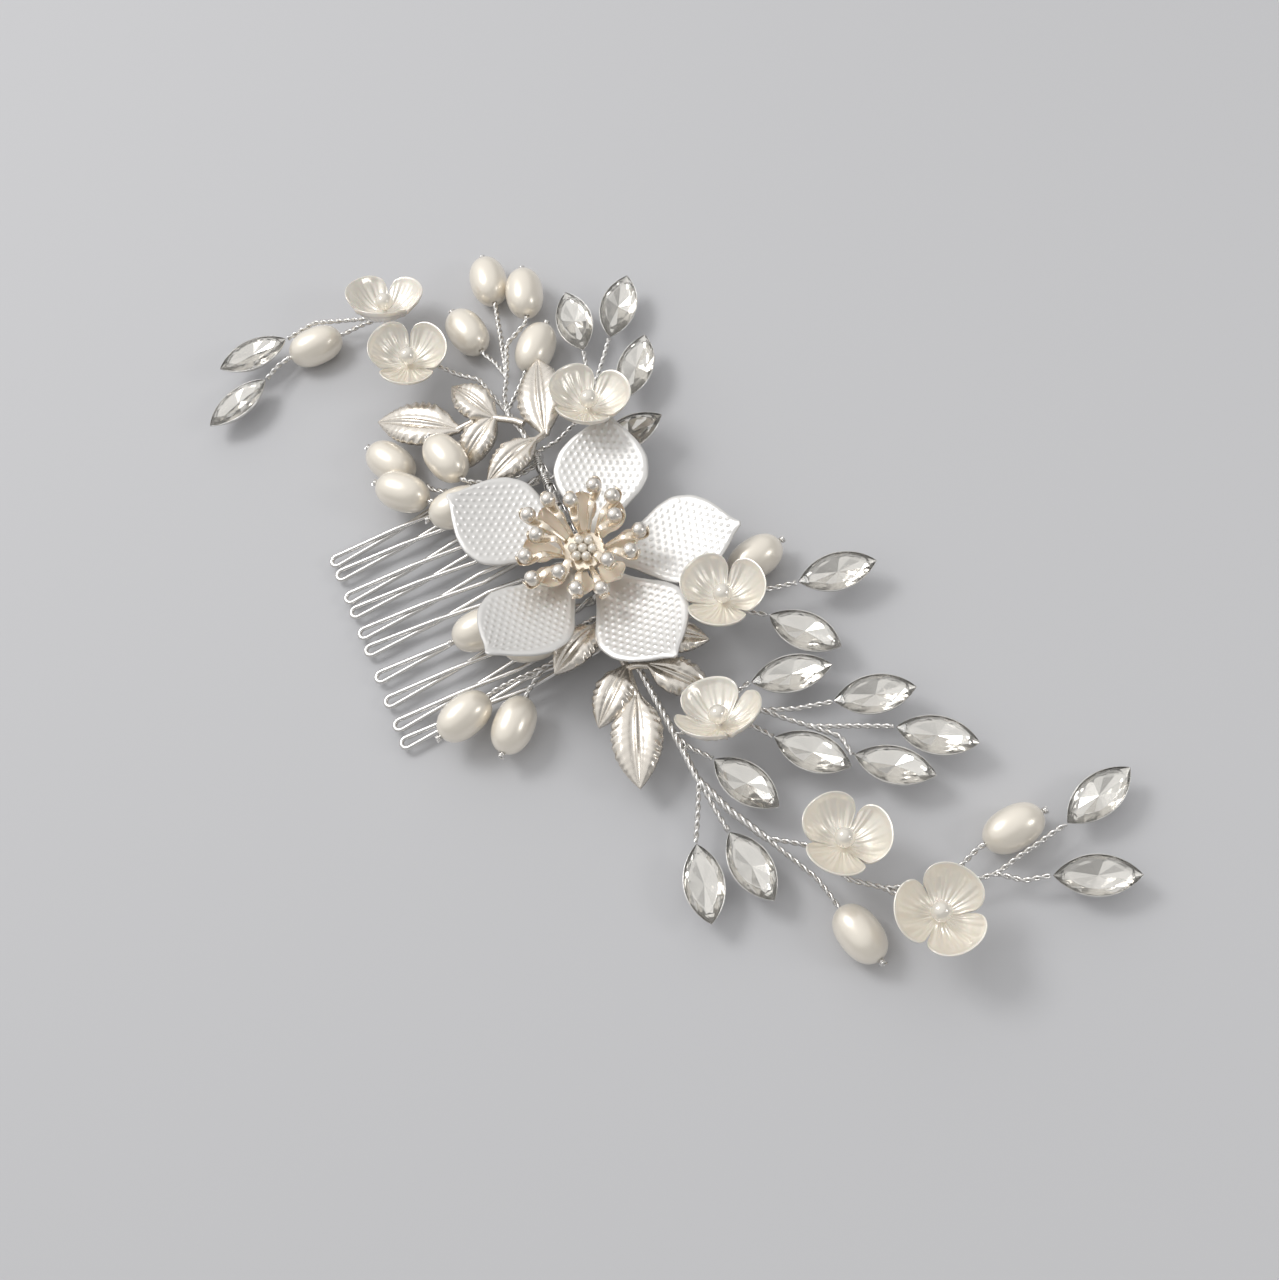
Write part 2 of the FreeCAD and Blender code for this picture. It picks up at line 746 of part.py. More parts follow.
def to_pearl(number, *route):
    """The wire to a pearl: the twisted lead, the core through the pearl's bore and the knot at its tip."""
    base, heading, climb = PEARLS[number - 1]
    out = bearing(heading, climb)
    twist = size("twist_diameter")
    far = size("pearl_length") + 2 * size("pearl_end_gap")
    knot_end = far + size("tip_knot_length")
    lead = wire(list(route) + [base - out * LEAD_IN, base], twist, THIN_SIDES)
    core = wire([base - out * LEAD_IN / 2, base + out * (far + knot_end) / 2], CORE_WIRE, CORE_SIDES)
    knot = wire([base + out * far, base + out * knot_end], size("tip_knot_diameter"), THIN_SIDES)
    return [lead, core, knot]


LEAD_IN = 1.2


def to_floret(number, *route):
    """The wire to a small flower: it comes up square under the flower's middle."""
    base, heading, lean, turn = FLORETS[number - 1]
    up = lean_rotation(heading, lean, turn).multVec(Vector(0, 0, 1))
    return plain(*route, base - up * LEAD_IN, base - up * GAP)


def to_stone(spray, number, *route):
    """The wire to a stone's cup."""
    return plain(*route, STONES[spray][number - 1][0])


def plain(*route):
    """A stretch of twisted wire."""
    return [wire(route, size("twist_diameter"), THIN_SIDES)]


def rope(*route):
    """The thick stretch where all of a vine's wires are twisted together."""
    return [wire(route, size("rope_diameter"))]


def make_left_vine():
    """The left vine: its rope lies on the spine, forks beyond its end and feeds the left sprays."""
    fork = left(9.6, -1.5, -0.4)
    upper_fork = left(18.0, 1.3, -0.9)
    lower_fork = left(20.0, -4.0, -0.6)
    under_second = left(30.5, -12.5, -1.2)
    under_first = left(44.5, -17.0, -1.4)
    solids = rope(middle(0, 0), left(0, 0), left(4.5, -0.4), fork)
    solids += plain(fork, left(13.5, -0.6, -0.6), upper_fork)
    solids += to_pearl(2, upper_fork, left(27.0, 3.4, -1.9))
    solids += to_pearl(3, upper_fork, left(25.5, 4.2, -1.2))
    solids += to_pearl(4, upper_fork, left(23.0, 0.4, -1.8))
    solids += to_pearl(5, fork, left(12.5, 0.9, -1.0), left(15.5, 3.4, -1.8))
    solids += plain(fork, left(15.5, -2.8, -0.5), lower_fork)
    solids += plain(lower_fork, left(24.0, -7.8, -0.9), under_second)
    solids += to_floret(2, under_second)
    solids += plain(under_second, left(38.0, -16.3, -1.6), under_first)
    solids += to_floret(1, under_first)
    solids += to_pearl(1, under_first, left(45.7, -22.0, -2.2))
    solids += to_stone("left_end", 1, under_first, left(48.6, -24.5, -2.0), left(51.2, -30.5, -2.0))
    solids += to_stone("left_end", 2, pearl_tip(1), left(45.2, -40.5, -2.3))
    solids += make_left_upper_wires()
    solids += make_left_lower_wires()
    add("left_vine", fused(solids))


def pearl_tip(number):
    """The middle of the knot beyond a pearl's tip."""
    base, heading, climb = PEARLS[number - 1]
    reach = size("pearl_length") + 2 * size("pearl_end_gap") + size("tip_knot_length") / 2
    return base + bearing(heading, climb) * reach


def make_left_upper_wires():
    """The wires to the third small flower and the four stones behind it."""
    start = left(-2.0, 0)
    fork = left(1.6, 11.5, -0.4)
    solids = plain(start, left(-1.6, 5.5, 0.2), fork)
    solids += to_floret(3, fork)
    solids += to_stone("left_top", 1, fork, left(8.0, 15.8, -0.8))
    solids += to_stone("left_top", 2, fork, left(9.5, 18.4, -0.6))
    solids += to_stone("left_top", 3, fork, left(1.0, 18.5, -0.7))
    solids += to_stone("left_top", 4, middle(-14.7, 0), middle(-15.6, 5.5, 0.0))
    return solids


def make_left_lower_wires():
    """The wires to the four pearls below the left end of the comb."""
    start = middle(-19.0, 0)
    fork = middle(-19.4, -9.5, -0.6)
    low_fork = middle(-21.2, -18.0, 0.0)
    solids = plain(start, middle(-19.0, -3.5, -0.7), fork)
    solids += to_pearl(9, fork)
    solids += to_pearl(7, fork)
    solids += plain(fork, middle(-21.0, -13.0, -0.4), low_fork)
    solids += to_pearl(8, low_fork)
    solids += to_pearl(6, low_fork, middle(-24.0, -21.0, -1.2))
    return solids


def make_right_vine():
    """The right vine: its rope lies on the spine, runs on beyond it and feeds the right sprays."""
    fork = right(31.9, 2.4, -0.4)
    far_fork = right(46.7, 8.9, -0.9)
    solids = rope(middle(0.3, 0), right(0, 0), right(4.1, 1.0), right(22.0, 2.0, -0.2), fork)
    solids += rope(fork, right(39.8, 5.4, -0.6), far_fork)
    solids += to_stone("right_end", 1, fork, right(36.5, 2.8, -0.8))
    solids += to_stone("right_end", 2, fork, right(36.8, 0.2, -0.8))
    solids += make_right_end_wires(far_fork)
    solids += make_right_middle_wires()
    solids += make_right_near_wires()
    solids += make_right_lower_wires()
    add("right_vine", fused(solids))


def make_right_end_wires(far_fork):
    """The wires beyond the last fork of the right rope."""
    under_sixth = right(51.7, 15.8, -1.3)
    turn = right(59.6, 18.8, -1.5)
    beside_last = right(63.6, 23.8, -1.7)
    left_of_last = right(66.6, 30.7, -1.9)
    top_fork = right(69.6, 42.1, -1.9)
    solids = plain(far_fork, under_sixth)
    solids += to_floret(6, under_sixth)
    solids += to_pearl(16, far_fork, right(56.7, 13.9, -1.8))
    solids += plain(under_sixth, turn, beside_last)
    solids += plain(beside_last, left_of_last)
    solids += to_pearl(15, left_of_last, right(65.9, 36.7, -2.3))
    solids += to_floret(7, beside_last, right(67.5, 26.5, -1.5))
    solids += plain(left_of_last, right(68.8, 37.5, -1.9), top_fork)
    solids += to_stone("right_end", 3, top_fork, right(68.6, 46.5, -1.9))
    solids += to_stone("right_end", 4, top_fork, right(72.6, 45.8, -1.9))
    return solids


def make_right_middle_wires():
    """The wires to the fifth small flower and the six stones round it."""
    start = right(22.0, 2.0, -0.2)
    under_fifth = right(23.2, 10.5, -0.9)
    fork = right(24.2, 18.2, -0.9)
    high_fork = right(31.0, 24.6, -0.9)
    solids = plain(start, under_fifth)
    solids += to_floret(5, under_fifth)
    solids += to_stone("right_middle", 1, under_fifth, right(19.2, 15.5, -0.6))
    solids += plain(under_fifth, fork)
    solids += to_stone("right_middle", 2, fork, right(27.2, 24.5, -0.6))
    solids += plain(fork, high_fork)
    solids += to_stone("right_middle", 3, high_fork, right(34.4, 31.7, -0.8))
    solids += to_stone("right_middle", 4, high_fork, right(35.2, 28.9, -0.9))
    solids += to_stone("right_middle", 5, under_fifth, right(26.5, 15.6, -0.7))
    solids += to_stone("right_middle", 6, start, right(25.6, 3.6, -0.4))
    return solids


def make_right_near_wires():
    """The wires to the fourth small flower, the pearl behind it and its two stones."""
    start = right(2.2, 0.5)
    fork = right(0.8, 17.5, -0.7)
    solids = plain(start, right(2.0, 8.5, -0.3), fork)
    solids += to_floret(4, fork)
    solids += to_pearl(14, fork, right(-2.5, 20.9, -1.6))
    solids += to_stone("right_near", 1, fork, right(2.6, 28.9, -0.6))
    solids += to_stone("right_near", 2, fork)
    return solids


def make_right_lower_wires():
    """The wires to the four pearls below the right half of the comb."""
    start = middle(20.5, 0)
    fork = middle(21.2, -9.5, -0.7)
    low_fork = middle(21.9, -15.0, -0.9)
    solids = plain(start, middle(20.5, -4.0, -0.8), fork, low_fork)
    solids += to_pearl(13, low_fork)
    solids += to_pearl(12, low_fork, middle(22.2, -20.5, 0.0))
    solids += to_pearl(11, middle(16.6, 0), middle(17.4, -4.0, 0.2))
    solids += to_pearl(10, middle(11.3, 0), middle(11.0, -7.0, 0.2))
    return solids


# --- Cast leaf sprigs --------------------------------------------------------------------------------------

STEM_RADIUS = size("sprig_stem_diameter") / 2
# A cast stem that crosses over a vine's rope clears it by this rise of its axis.
OVER = ROPE_RADIUS + STEM_RADIUS + 2 * GAP


def stem(*route):
    """The smooth cast stem of a sprig."""
    return wire(list(route), size("sprig_stem_diameter"))


def leaf(kind, base, heading, climb=0, roll=0):
    """A leaf of the large or the small kind, its base at a point of its stem."""
    form = make_leaf(size(f"{kind}_leaf_length"), size(f"{kind}_leaf_width"))
    lift = Vector(0, 0, size("leaf_thickness") / 2)
    return placed(form, base + lift - bearing(heading, climb) * STEM_RADIUS, aim(heading, climb, roll))


def make_left_sprig():
    """Three leaves on one stem, which crosses over the left rope."""
    top = left(4.3, 0.5, OVER + 0.2)
    over = left(5.9, -0.8, OVER + 0.1)
    first_fork = left(9.0, -4.3, 0.8)
    end = left(10.6, -12.0, 0.0)
    solids = [stem(top, over, first_fork, left(10.6, -8.0, 0.4), end)]
    solids.append(leaf("large", end, 233, -6))
    solids.append(leaf("small", first_fork, 205, -3))
    solids.append(leaf("small", first_fork, 299, -17))
    add("left_leaf_sprig", fused(solids))


def make_left_upper_sprig():
    """Two leaves that spread from the left end of the spine."""
    high_end = left(0.9, 3.6, 0.7)
    low_end = left(-0.4, 1.0, OVER + 0.2)
    solids = [stem(high_end, left(0.2, 2.5, 1.2), low_end)]
    solids.append(leaf("large", high_end, 164, -2, -10))
    solids.append(leaf("small", low_end, 289, -4))
    add("left_upper_leaf_sprig", fused(solids))


def make_right_sprig():
    """Three leaves on one stem beside the right rope."""
    beside = ROPE_RADIUS + STEM_RADIUS + 2 * GAP
    root = right(2.0, 0.4 - beside, 0)
    bend = right(6.0, 0.6 - beside, 0.2)
    end = right(12.0, -1.4, 0.2)
    crossing = right(8.2, 3.2, OVER)
    solids = [stem(root, bend, end), stem(bend, right(7.0, 1.2, OVER + 0.2), crossing)]
    solids.append(leaf("large", end, 339, -3))
    solids.append(leaf("small", bend, 312, -4))
    solids.append(leaf("small", crossing, 44, -14))
    add("right_leaf_sprig", fused(solids))


def make_right_inner_sprig():
    """Two leaves whose stem crosses over the right rope under the large flower."""
    low_end = middle(19.6, -3.0, 1.1)
    high_end = middle(25.4, 4.2, 1.2)
    solids = [stem(low_end, middle(20.6, 0, OVER + 0.1), middle(22.0, 1.6, OVER), high_end)]
    solids.append(leaf("small", low_end, 302, 10))
    solids.append(leaf("small", high_end, 60, 0))
    add("right_inner_leaf_sprig", fused(solids))


make_hub()
make_large_petals()
make_stamens()
make_paddles()
make_centre_beads()
make_pearls()
make_florets()
make_stones()
make_left_vine()
make_right_vine()
make_left_sprig()
make_left_upper_sprig()
make_right_sprig()
make_right_inner_sprig()

# --- Check and write ---------------------------------------------------------------------------------------

doc.recompute()
for item in doc.Objects:
    if "Invalid" in item.State or "Error" in item.State:
        raise RuntimeError(f"{item.Label} failed: {item.State}")
for piece in PIECES:
    if piece.Shape.isNull() or not piece.Shape.isValid() or not piece.Shape.Solids:
        raise RuntimeError(f"{piece.Label} has no valid solid")

os.makedirs("parts", exist_ok=True)
for piece in PIECES:
    piece.Shape.exportStep(f"parts/{piece.Label}.step")
print(f"{len(PIECES)} sub-parts written")
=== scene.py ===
"""A bridal hair comb: wire comb, stamped flower, pearlised flowers, rice pearls, set stones and cast leaves.

The CAD model is the frame. Each piece here, but for the stubs of the seed beads, is the finished form of a
CAD piece and takes its place. Everything is in metres in the model's own frame: X along the comb's spine, +Y
from the tine tips to the spine, +Z away from the wearer's head. The lengths named in capitals are in
millimetres, but for those that the frame gives, and angles are in degrees.
"""

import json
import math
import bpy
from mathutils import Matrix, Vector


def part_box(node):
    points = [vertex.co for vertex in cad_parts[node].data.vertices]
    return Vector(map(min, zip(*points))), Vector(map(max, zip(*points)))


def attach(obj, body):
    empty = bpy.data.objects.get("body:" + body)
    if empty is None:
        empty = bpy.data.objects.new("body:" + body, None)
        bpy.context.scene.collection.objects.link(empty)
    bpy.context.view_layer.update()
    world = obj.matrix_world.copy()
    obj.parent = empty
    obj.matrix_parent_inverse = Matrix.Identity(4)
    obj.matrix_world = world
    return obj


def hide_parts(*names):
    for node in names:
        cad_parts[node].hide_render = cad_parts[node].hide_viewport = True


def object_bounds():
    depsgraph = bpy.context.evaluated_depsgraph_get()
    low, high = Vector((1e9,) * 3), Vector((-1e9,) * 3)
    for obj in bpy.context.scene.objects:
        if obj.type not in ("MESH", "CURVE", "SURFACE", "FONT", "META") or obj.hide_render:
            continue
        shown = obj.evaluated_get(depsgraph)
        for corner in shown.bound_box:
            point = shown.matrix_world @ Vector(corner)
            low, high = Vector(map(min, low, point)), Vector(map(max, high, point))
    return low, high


bl_info = {
    "name": "Bridal hair comb",
    "version": (1, 0, 0),
    "blender": (4, 5, 0),
    "location": "View3D > Sidebar > Hair comb",
    "description": "Finishes the pieces of a bridal hair comb over its CAD model",
    "category": "Object",
}

import bmesh
import bpy
import numpy as np
from mathutils import Matrix, Vector

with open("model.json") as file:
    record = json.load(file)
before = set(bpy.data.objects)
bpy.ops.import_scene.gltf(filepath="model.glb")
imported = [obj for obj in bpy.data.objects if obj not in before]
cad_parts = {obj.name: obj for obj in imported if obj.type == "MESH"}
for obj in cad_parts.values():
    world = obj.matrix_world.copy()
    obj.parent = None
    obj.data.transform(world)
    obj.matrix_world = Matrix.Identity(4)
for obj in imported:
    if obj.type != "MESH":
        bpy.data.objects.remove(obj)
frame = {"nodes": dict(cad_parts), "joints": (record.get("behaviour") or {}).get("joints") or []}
CAD_BOUNDS = [list(corner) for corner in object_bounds()]

MM = 0.001
UP = Vector((0, 0, 1))

# Places that the frame gives, in metres.
SPINE_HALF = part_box("comb_spine")[1].x
SPINE_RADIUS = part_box("comb_spine")[1].z
HUB_LOW, HUB_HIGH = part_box("flower_hub")
HUB_AXIS = Vector(((HUB_LOW.x + HUB_HIGH.x) / 2, (HUB_LOW.y + HUB_HIGH.y) / 2, 0))
HUB_RADIUS = HUB_HIGH.x - HUB_AXIS.x
TABLE_LEVEL = CAD_BOUNDS[0][2]


def linear(code):
    """A linear colour from an sRGB hex code."""
    channels = [int(code[i : i + 2], 16) / 255 for i in (1, 3, 5)]
    return [c / 12.92 if c <= 0.04045 else ((c + 0.055) / 1.055) ** 2.4 for c in channels]


def length(name, description, millimetres):
    """A length that a user can change."""
    return bpy.props.FloatProperty(
        name=name, description=description, default=millimetres * MM, min=0, unit="LENGTH", precision=5
    )


def colour(name, description, code):
    """A colour that a user can change."""
    return bpy.props.FloatVectorProperty(
        name=name, description=description, default=linear(code), size=3, min=0, max=1, subtype="COLOR"
    )


class CombSizes(bpy.types.PropertyGroup):
    """The sizes that the CAD model's boxes don't give."""

    tine_count: bpy.props.IntProperty(name="Tines", description="Hairpins on the spine", default=10)
    tine_wire: length("Tine wire", "Diameter of a tine's wire", 0.95)
    tine_length: length("Tine length", "From the spine to a tine's tip", 46)
    tine_gap: length("Tine gap", "Between the middles of a tine's legs", 2.2)
    tine_droop: length("Tine droop", "How far the tips lie below the spine", 2.5)
    neck_length: length("Neck length", "The twisted part of a tine", 12)
    binding_wire: length("Binding wire", "Diameter of the fine binding wire", 0.34)
    rope_diameter: length("Rope", "Diameter of a vine's rope", 1.5)
    twist_diameter: length("Twist", "Diameter of a twisted pair of wires", 1.1)
    turn_length: length("Lay length", "One turn of a twisted pair", 3.4)
    pearl_length: length("Pearl length", "A rice pearl along its bore", 11.5)
    pearl_diameter: length("Pearl diameter", "A rice pearl across its bore", 7.8)
    dimple_pitch: length("Dimple pitch", "Between the dimples of a stamped petal", 1.45)
    dimple_height: length("Dimple height", "How far a dimple stands out", 0.25)
    petal_length: length("Petal length", "A large petal from the hub's axis to its tip", 30)
    petal_width: length("Petal width", "A large petal at its widest", 18.6)
    petal_thickness: length("Petal thickness", "The stamped sheet", 0.5)
    large_leaf: length("Large leaf", "Length of a large cast leaf", 18.5)
    small_leaf: length("Small leaf", "Length of a small cast leaf", 13.2)


class CombColours(bpy.types.PropertyGroup):
    """The finishes' colours."""

    silver: colour("Silver", "Rhodium-plated wire", "#E4E2DF")
    ball: colour("Ball", "Satin rhodium of the stamens' balls", "#F0EAE2")
    casting: colour("Casting", "Plated leaf casting", "#E8E1D7")
    petal: colour("Petal", "Satin silver of the stamped petals", "#E4E2DF")
    champagne: colour("Champagne", "Champagne paddles and stamens of the centre", "#F3E6D3")
    pearl: colour("Pearl", "Ivory pearl lacquer", "#F7EFE1")
    resin: colour("Resin", "Pearlised resin of the small flowers", "#F8F2E7")
    bead: colour("Bead", "Milky glass of the small beads", "#F5EFE4")
    foil: colour("Foil", "Foil behind the stones", "#F1EEE8")
    floor: colour("Floor", "Plain floor", "#C9C9CB")


def sizes():
    """The scene's sizes."""
    return bpy.context.scene.comb_sizes


# Places

# The clearance between two pieces that lie on each other.
CLEARANCE = 0.04
# Where a small flower's core ends and its rim starts, as shares of its radius.
CORE_END, RIM_START = 0.4, 0.8


def vine_level():
    """The level of a vine's axis over the spine: the tines' eyes lie between them."""
    return SPINE_RADIUS + sizes().tine_wire + sizes().rope_diameter / 2 + CLEARANCE * MM


def left(out, up, rise=0.0):
    """A point so many millimetres out from the spine's left end, up from its axis and above the vine's."""
    return Vector((-SPINE_HALF - out * MM, up * MM, vine_level() + rise * MM))


def right(out, up, rise=0.0):
    """The same from the spine's right end."""
    return Vector((SPINE_HALF + out * MM, up * MM, vine_level() + rise * MM))


def middle(across, up, rise=0.0):
    """A point measured from the middle of the spine."""
    return Vector((across * MM, up * MM, vine_level() + rise * MM))


def bearing(heading, climb=0.0):
    """The unit vector of a heading, counted from +X towards +Y, and a climb, both in degrees."""
    turn, rise = math.radians(heading), math.radians(climb)
    return Vector((math.cos(turn) * math.cos(rise), math.sin(turn) * math.cos(rise), math.sin(rise)))


def aim(position, heading, climb=0.0, roll=0.0):
    """The matrix that puts a form along +X at a place, turned to a heading and a climb after a roll."""
    turn = Matrix.Rotation(math.radians(heading), 4, "Z") @ Matrix.Rotation(math.radians(-climb), 4, "Y")
    return Matrix.Translation(position) @ turn @ Matrix.Rotation(math.radians(roll), 4, "X")


def axes_matrix(origin, along, up=UP):
    """The matrix whose X lies along one direction and whose Z lies near another."""
    x = along.normalized()
    y = up.cross(x).normalized()
    turn = Matrix((x, y, x.cross(y))).transposed().to_4x4()
    return Matrix.Translation(origin) @ turn


def cad_solids(node):
    """The separate solids of a CAD node, each as an array of its corners."""
    mesh = bmesh.new()
    mesh.from_mesh(frame["nodes"][node].data)
    bmesh.ops.remove_doubles(mesh, verts=mesh.verts, dist=1e-6)
    left_over = dict.fromkeys(mesh.verts)
    solids = []
    while left_over:
        found = [left_over.popitem()[0]]
        for corner in found:
            for edge in corner.link_edges:
                other = edge.other_vert(corner)
                if other in left_over:
                    del left_over[other]
                    found.append(other)
        solids.append(np.array([corner.co for corner in found]))
    mesh.free()
    return solids


def stone_place(corners):
    """Where a marquise stone lies: its middle, its length along X and its table towards +Z."""
    spread = np.linalg.norm(corners[:, None] - corners[None], axis=2)
    a, b = np.unravel_index(spread.argmax(), spread.shape)
    tip, tail = Vector(corners[a]), Vector(corners[b])
    up = Vector(np.linalg.eigh(np.cov(corners.T))[1][:, 0])
    return axes_matrix((tip + tail) / 2, tip - tail, up * math.copysign(1, up.z))


def flower_base(corners):
    """The middle of a three-petalled flower's underside."""
    centre = corners.mean(axis=0)
    up = np.linalg.eigh(np.cov(corners.T))[1][:, 0]
    level = (corners - centre) @ up
    out = np.linalg.norm((corners - centre) - level[:, None] * up, axis=1)
    core = out < CORE_END * out.max()
    if level[out > RIM_START * out.max()].mean() < level[core].mean():
        up, level = -up, -level
    return Vector(centre + up * level[core].min())


def pearl_places():
    """Each pearl's body name with its middle and its bore's direction, from the joints."""
    places = {}
    for joint in frame["joints"]:
        places[joint["child"]] = (Vector(joint["pos_m"]), Vector(joint["axis"]).normalized())
    return places


# Meshes and pieces

# How many points make a turn of a coil, and how many segments a larger bead has.
COIL_STEPS = 12
FINE_BEAD = 28


def clamped(value):
    """A value kept between 0 and 1."""
    return min(1.0, max(0.0, value))


def eased(points, share):
    """A smooth value between given points of (share, value)."""
    x = [p[0] for p in points]
    y = [p[1] for p in points]
    i = max(0, min(len(x) - 2, sum(share > value for value in x) - 1))
    slope = [(y[k + 1] - y[k]) / (x[k + 1] - x[k]) for k in range(len(x) - 1)]
    rates = [slope[0]] + [0.0] * (len(x) - 2) + [slope[-1]]
    for k in range(1, len(x) - 1):
        if slope[k - 1] * slope[k] > 0:
            rates[k] = 2 * slope[k - 1] * slope[k] / (slope[k - 1] + slope[k])
    run = x[i + 1] - x[i]
    t = (share - x[i]) / run
    start = (1 + 2 * t) * (1 - t) ** 2 * y[i] + t * (1 - t) ** 2 * run * rates[i]
    return start + t * t * (3 - 2 * t) * y[i + 1] + t * t * (t - 1) * run * rates[i + 1]


def circle(count):
    """The angles of points spread evenly round a circle."""
    return [2 * math.pi * k / count for k in range(count)]


def about_x(x, radius, angle):
    """A point at an angle on a circle about the X axis."""
    return Vector((x, radius * math.cos(angle), radius * math.sin(angle)))


def coil(start, advance, turns, radius, phase=0.0):
    """The points of a coil about the X axis."""
    steps = turns * COIL_STEPS
    angles = [2 * math.pi * i / COIL_STEPS + phase for i in range(steps + 1)]
    return [about_x(start + advance * i / steps, radius, angle) for i, angle in enumerate(angles)]


def round_off(mesh):
    """Merges doubles, closes the ends and turns the faces outwards."""
    work = bmesh.new()
    work.from_mesh(mesh)
    bmesh.ops.remove_doubles(work, verts=work.verts, dist=1e-7)
    holes = [edge for edge in work.edges if edge.is_boundary]
    if holes:
        bmesh.ops.holes_fill(work, edges=holes)
    bmesh.ops.recalc_face_normals(work, faces=work.faces)
    work.to_mesh(mesh)
    work.free()
    return mesh


def loops_mesh(loops):
    """A mesh of quads through closed loops of points."""
    mesh = bpy.data.meshes.new("form")
    count = len(loops[0])
    faces = []
    for i in range(len(loops) - 1):
        for j in range(count):
            k = (j + 1) % count
            faces.append((i * count + j, i * count + k, (i + 1) * count + k, (i + 1) * count + j))
    mesh.from_pydata([tuple(p) for loop in loops for p in loop], [], faces)
    return mesh


def sheet_loops(upper, lower, bulge):
    """Closed loops round a sheet from rows over its two faces along Y, with its edges rounded out."""
    loops = []
    for up, low in zip(upper, lower):
        ends = []
        for edge, inner in ((-1, -2), (0, 1)):
            ends.append((up[edge] + low[edge]) / 2 + (up[edge] - up[inner]).normalized() * bulge * MM)
        loops.append([*up, ends[0], *low[::-1], ends[1]])
    return loops


def finished(name, mesh, node, *finishes, body="comb", smooth=True):
    """A finished piece: in its materials, on its body and, if it has a CAD node, in its place."""
    mesh.name = name
    for label in finishes:
        mesh.materials.append(finish(label))
    if smooth:
        mesh.shade_smooth()
    piece = bpy.data.objects.new(name, mesh)
    bpy.context.scene.collection.objects.link(piece)
    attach(piece, body)
    if node:
        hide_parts(node)


def dress(node, label):
    """Gives a CAD node that stays in sight a finish."""
    materials = frame["nodes"][node].data.materials
    materials.clear()
    materials.append(finish(label))


def joined(*parts):
    """One mesh from many: each part is a mesh and the matrices of its places."""
    work = bmesh.new()
    whole = bpy.data.meshes.new("joined")
    for mesh, places in parts:
        for place in places:
            copy = mesh.copy()
            copy.transform(place)
            work.from_mesh(copy)
            bpy.data.meshes.remove(copy)
    work.to_mesh(whole)
    work.free()
    return whole


# Node trees

# How finely the twisted strands wander, as the scale of a noise over metres.
WANDER_SCALE = 180.0


def add(tree, kind, inputs=None, **settings):
    """Adds a node with its settings. Each input takes a value, a socket, or a node for its first output."""
    node = tree.nodes.new(kind)
    for name, value in settings.items():
        setattr(node, name, value)
    for key, value in (inputs or {}).items():
        if isinstance(value, bpy.types.Node):
            value = value.outputs[0]
        if isinstance(value, bpy.types.NodeSocket):
            tree.links.new(value, node.inputs[key])
        else:
            node.inputs[key].default_value = value
    return node


def math_node(tree, operation, *values):
    """One step of arithmetic."""
    return add(tree, "ShaderNodeMath", dict(enumerate(values)), operation=operation)


def vector_node(tree, operation, *values, **scale):
    """One step on vectors."""
    return add(tree, "ShaderNodeVectorMath", {**dict(enumerate(values)), **scale}, operation=operation)


def shape_tree(name, whole, real):
    """An empty geometry tree with a shape coming in and going out, and inputs for whole and real numbers."""
    tree = bpy.data.node_groups.new(name, "GeometryNodeTree")
    for kind, labels in (("Geometry", ("Geometry",)), ("Int", whole), ("Float", real)):
        for label in labels:
            tree.interface.new_socket(label, in_out="INPUT", socket_type="NodeSocket" + kind)
    tree.interface.new_socket("Geometry", in_out="OUTPUT", socket_type="NodeSocketGeometry")
    return tree, add(tree, "NodeGroupInput").outputs


def close_tree(tree, shape):
    """Ends a geometry tree in real geometry."""
    add(tree, "NodeGroupOutput", {"Geometry": add(tree, "GeometryNodeRealizeInstances", {"Geometry": shape})})
    return tree


def grown(data, name, build, values):
    """The plain mesh that the geometry tree of a name makes of a curve or a mesh."""
    source = bpy.data.objects.new("source", data)
    bpy.context.scene.collection.objects.link(source)
    modifier = source.modifiers.new(name, "NODES")
    modifier.node_group = bpy.data.node_groups.get(name) or build()
    for item in modifier.node_group.interface.items_tree:
        if item.name in values:
            modifier[item.identifier] = values[item.name]
    depsgraph = bpy.context.evaluated_depsgraph_get()
    mesh = bpy.data.meshes.new_from_object(source.evaluated_get(depsgraph), depsgraph=depsgraph)
    mesh.materials.clear()
    bpy.data.objects.remove(source)
    return mesh


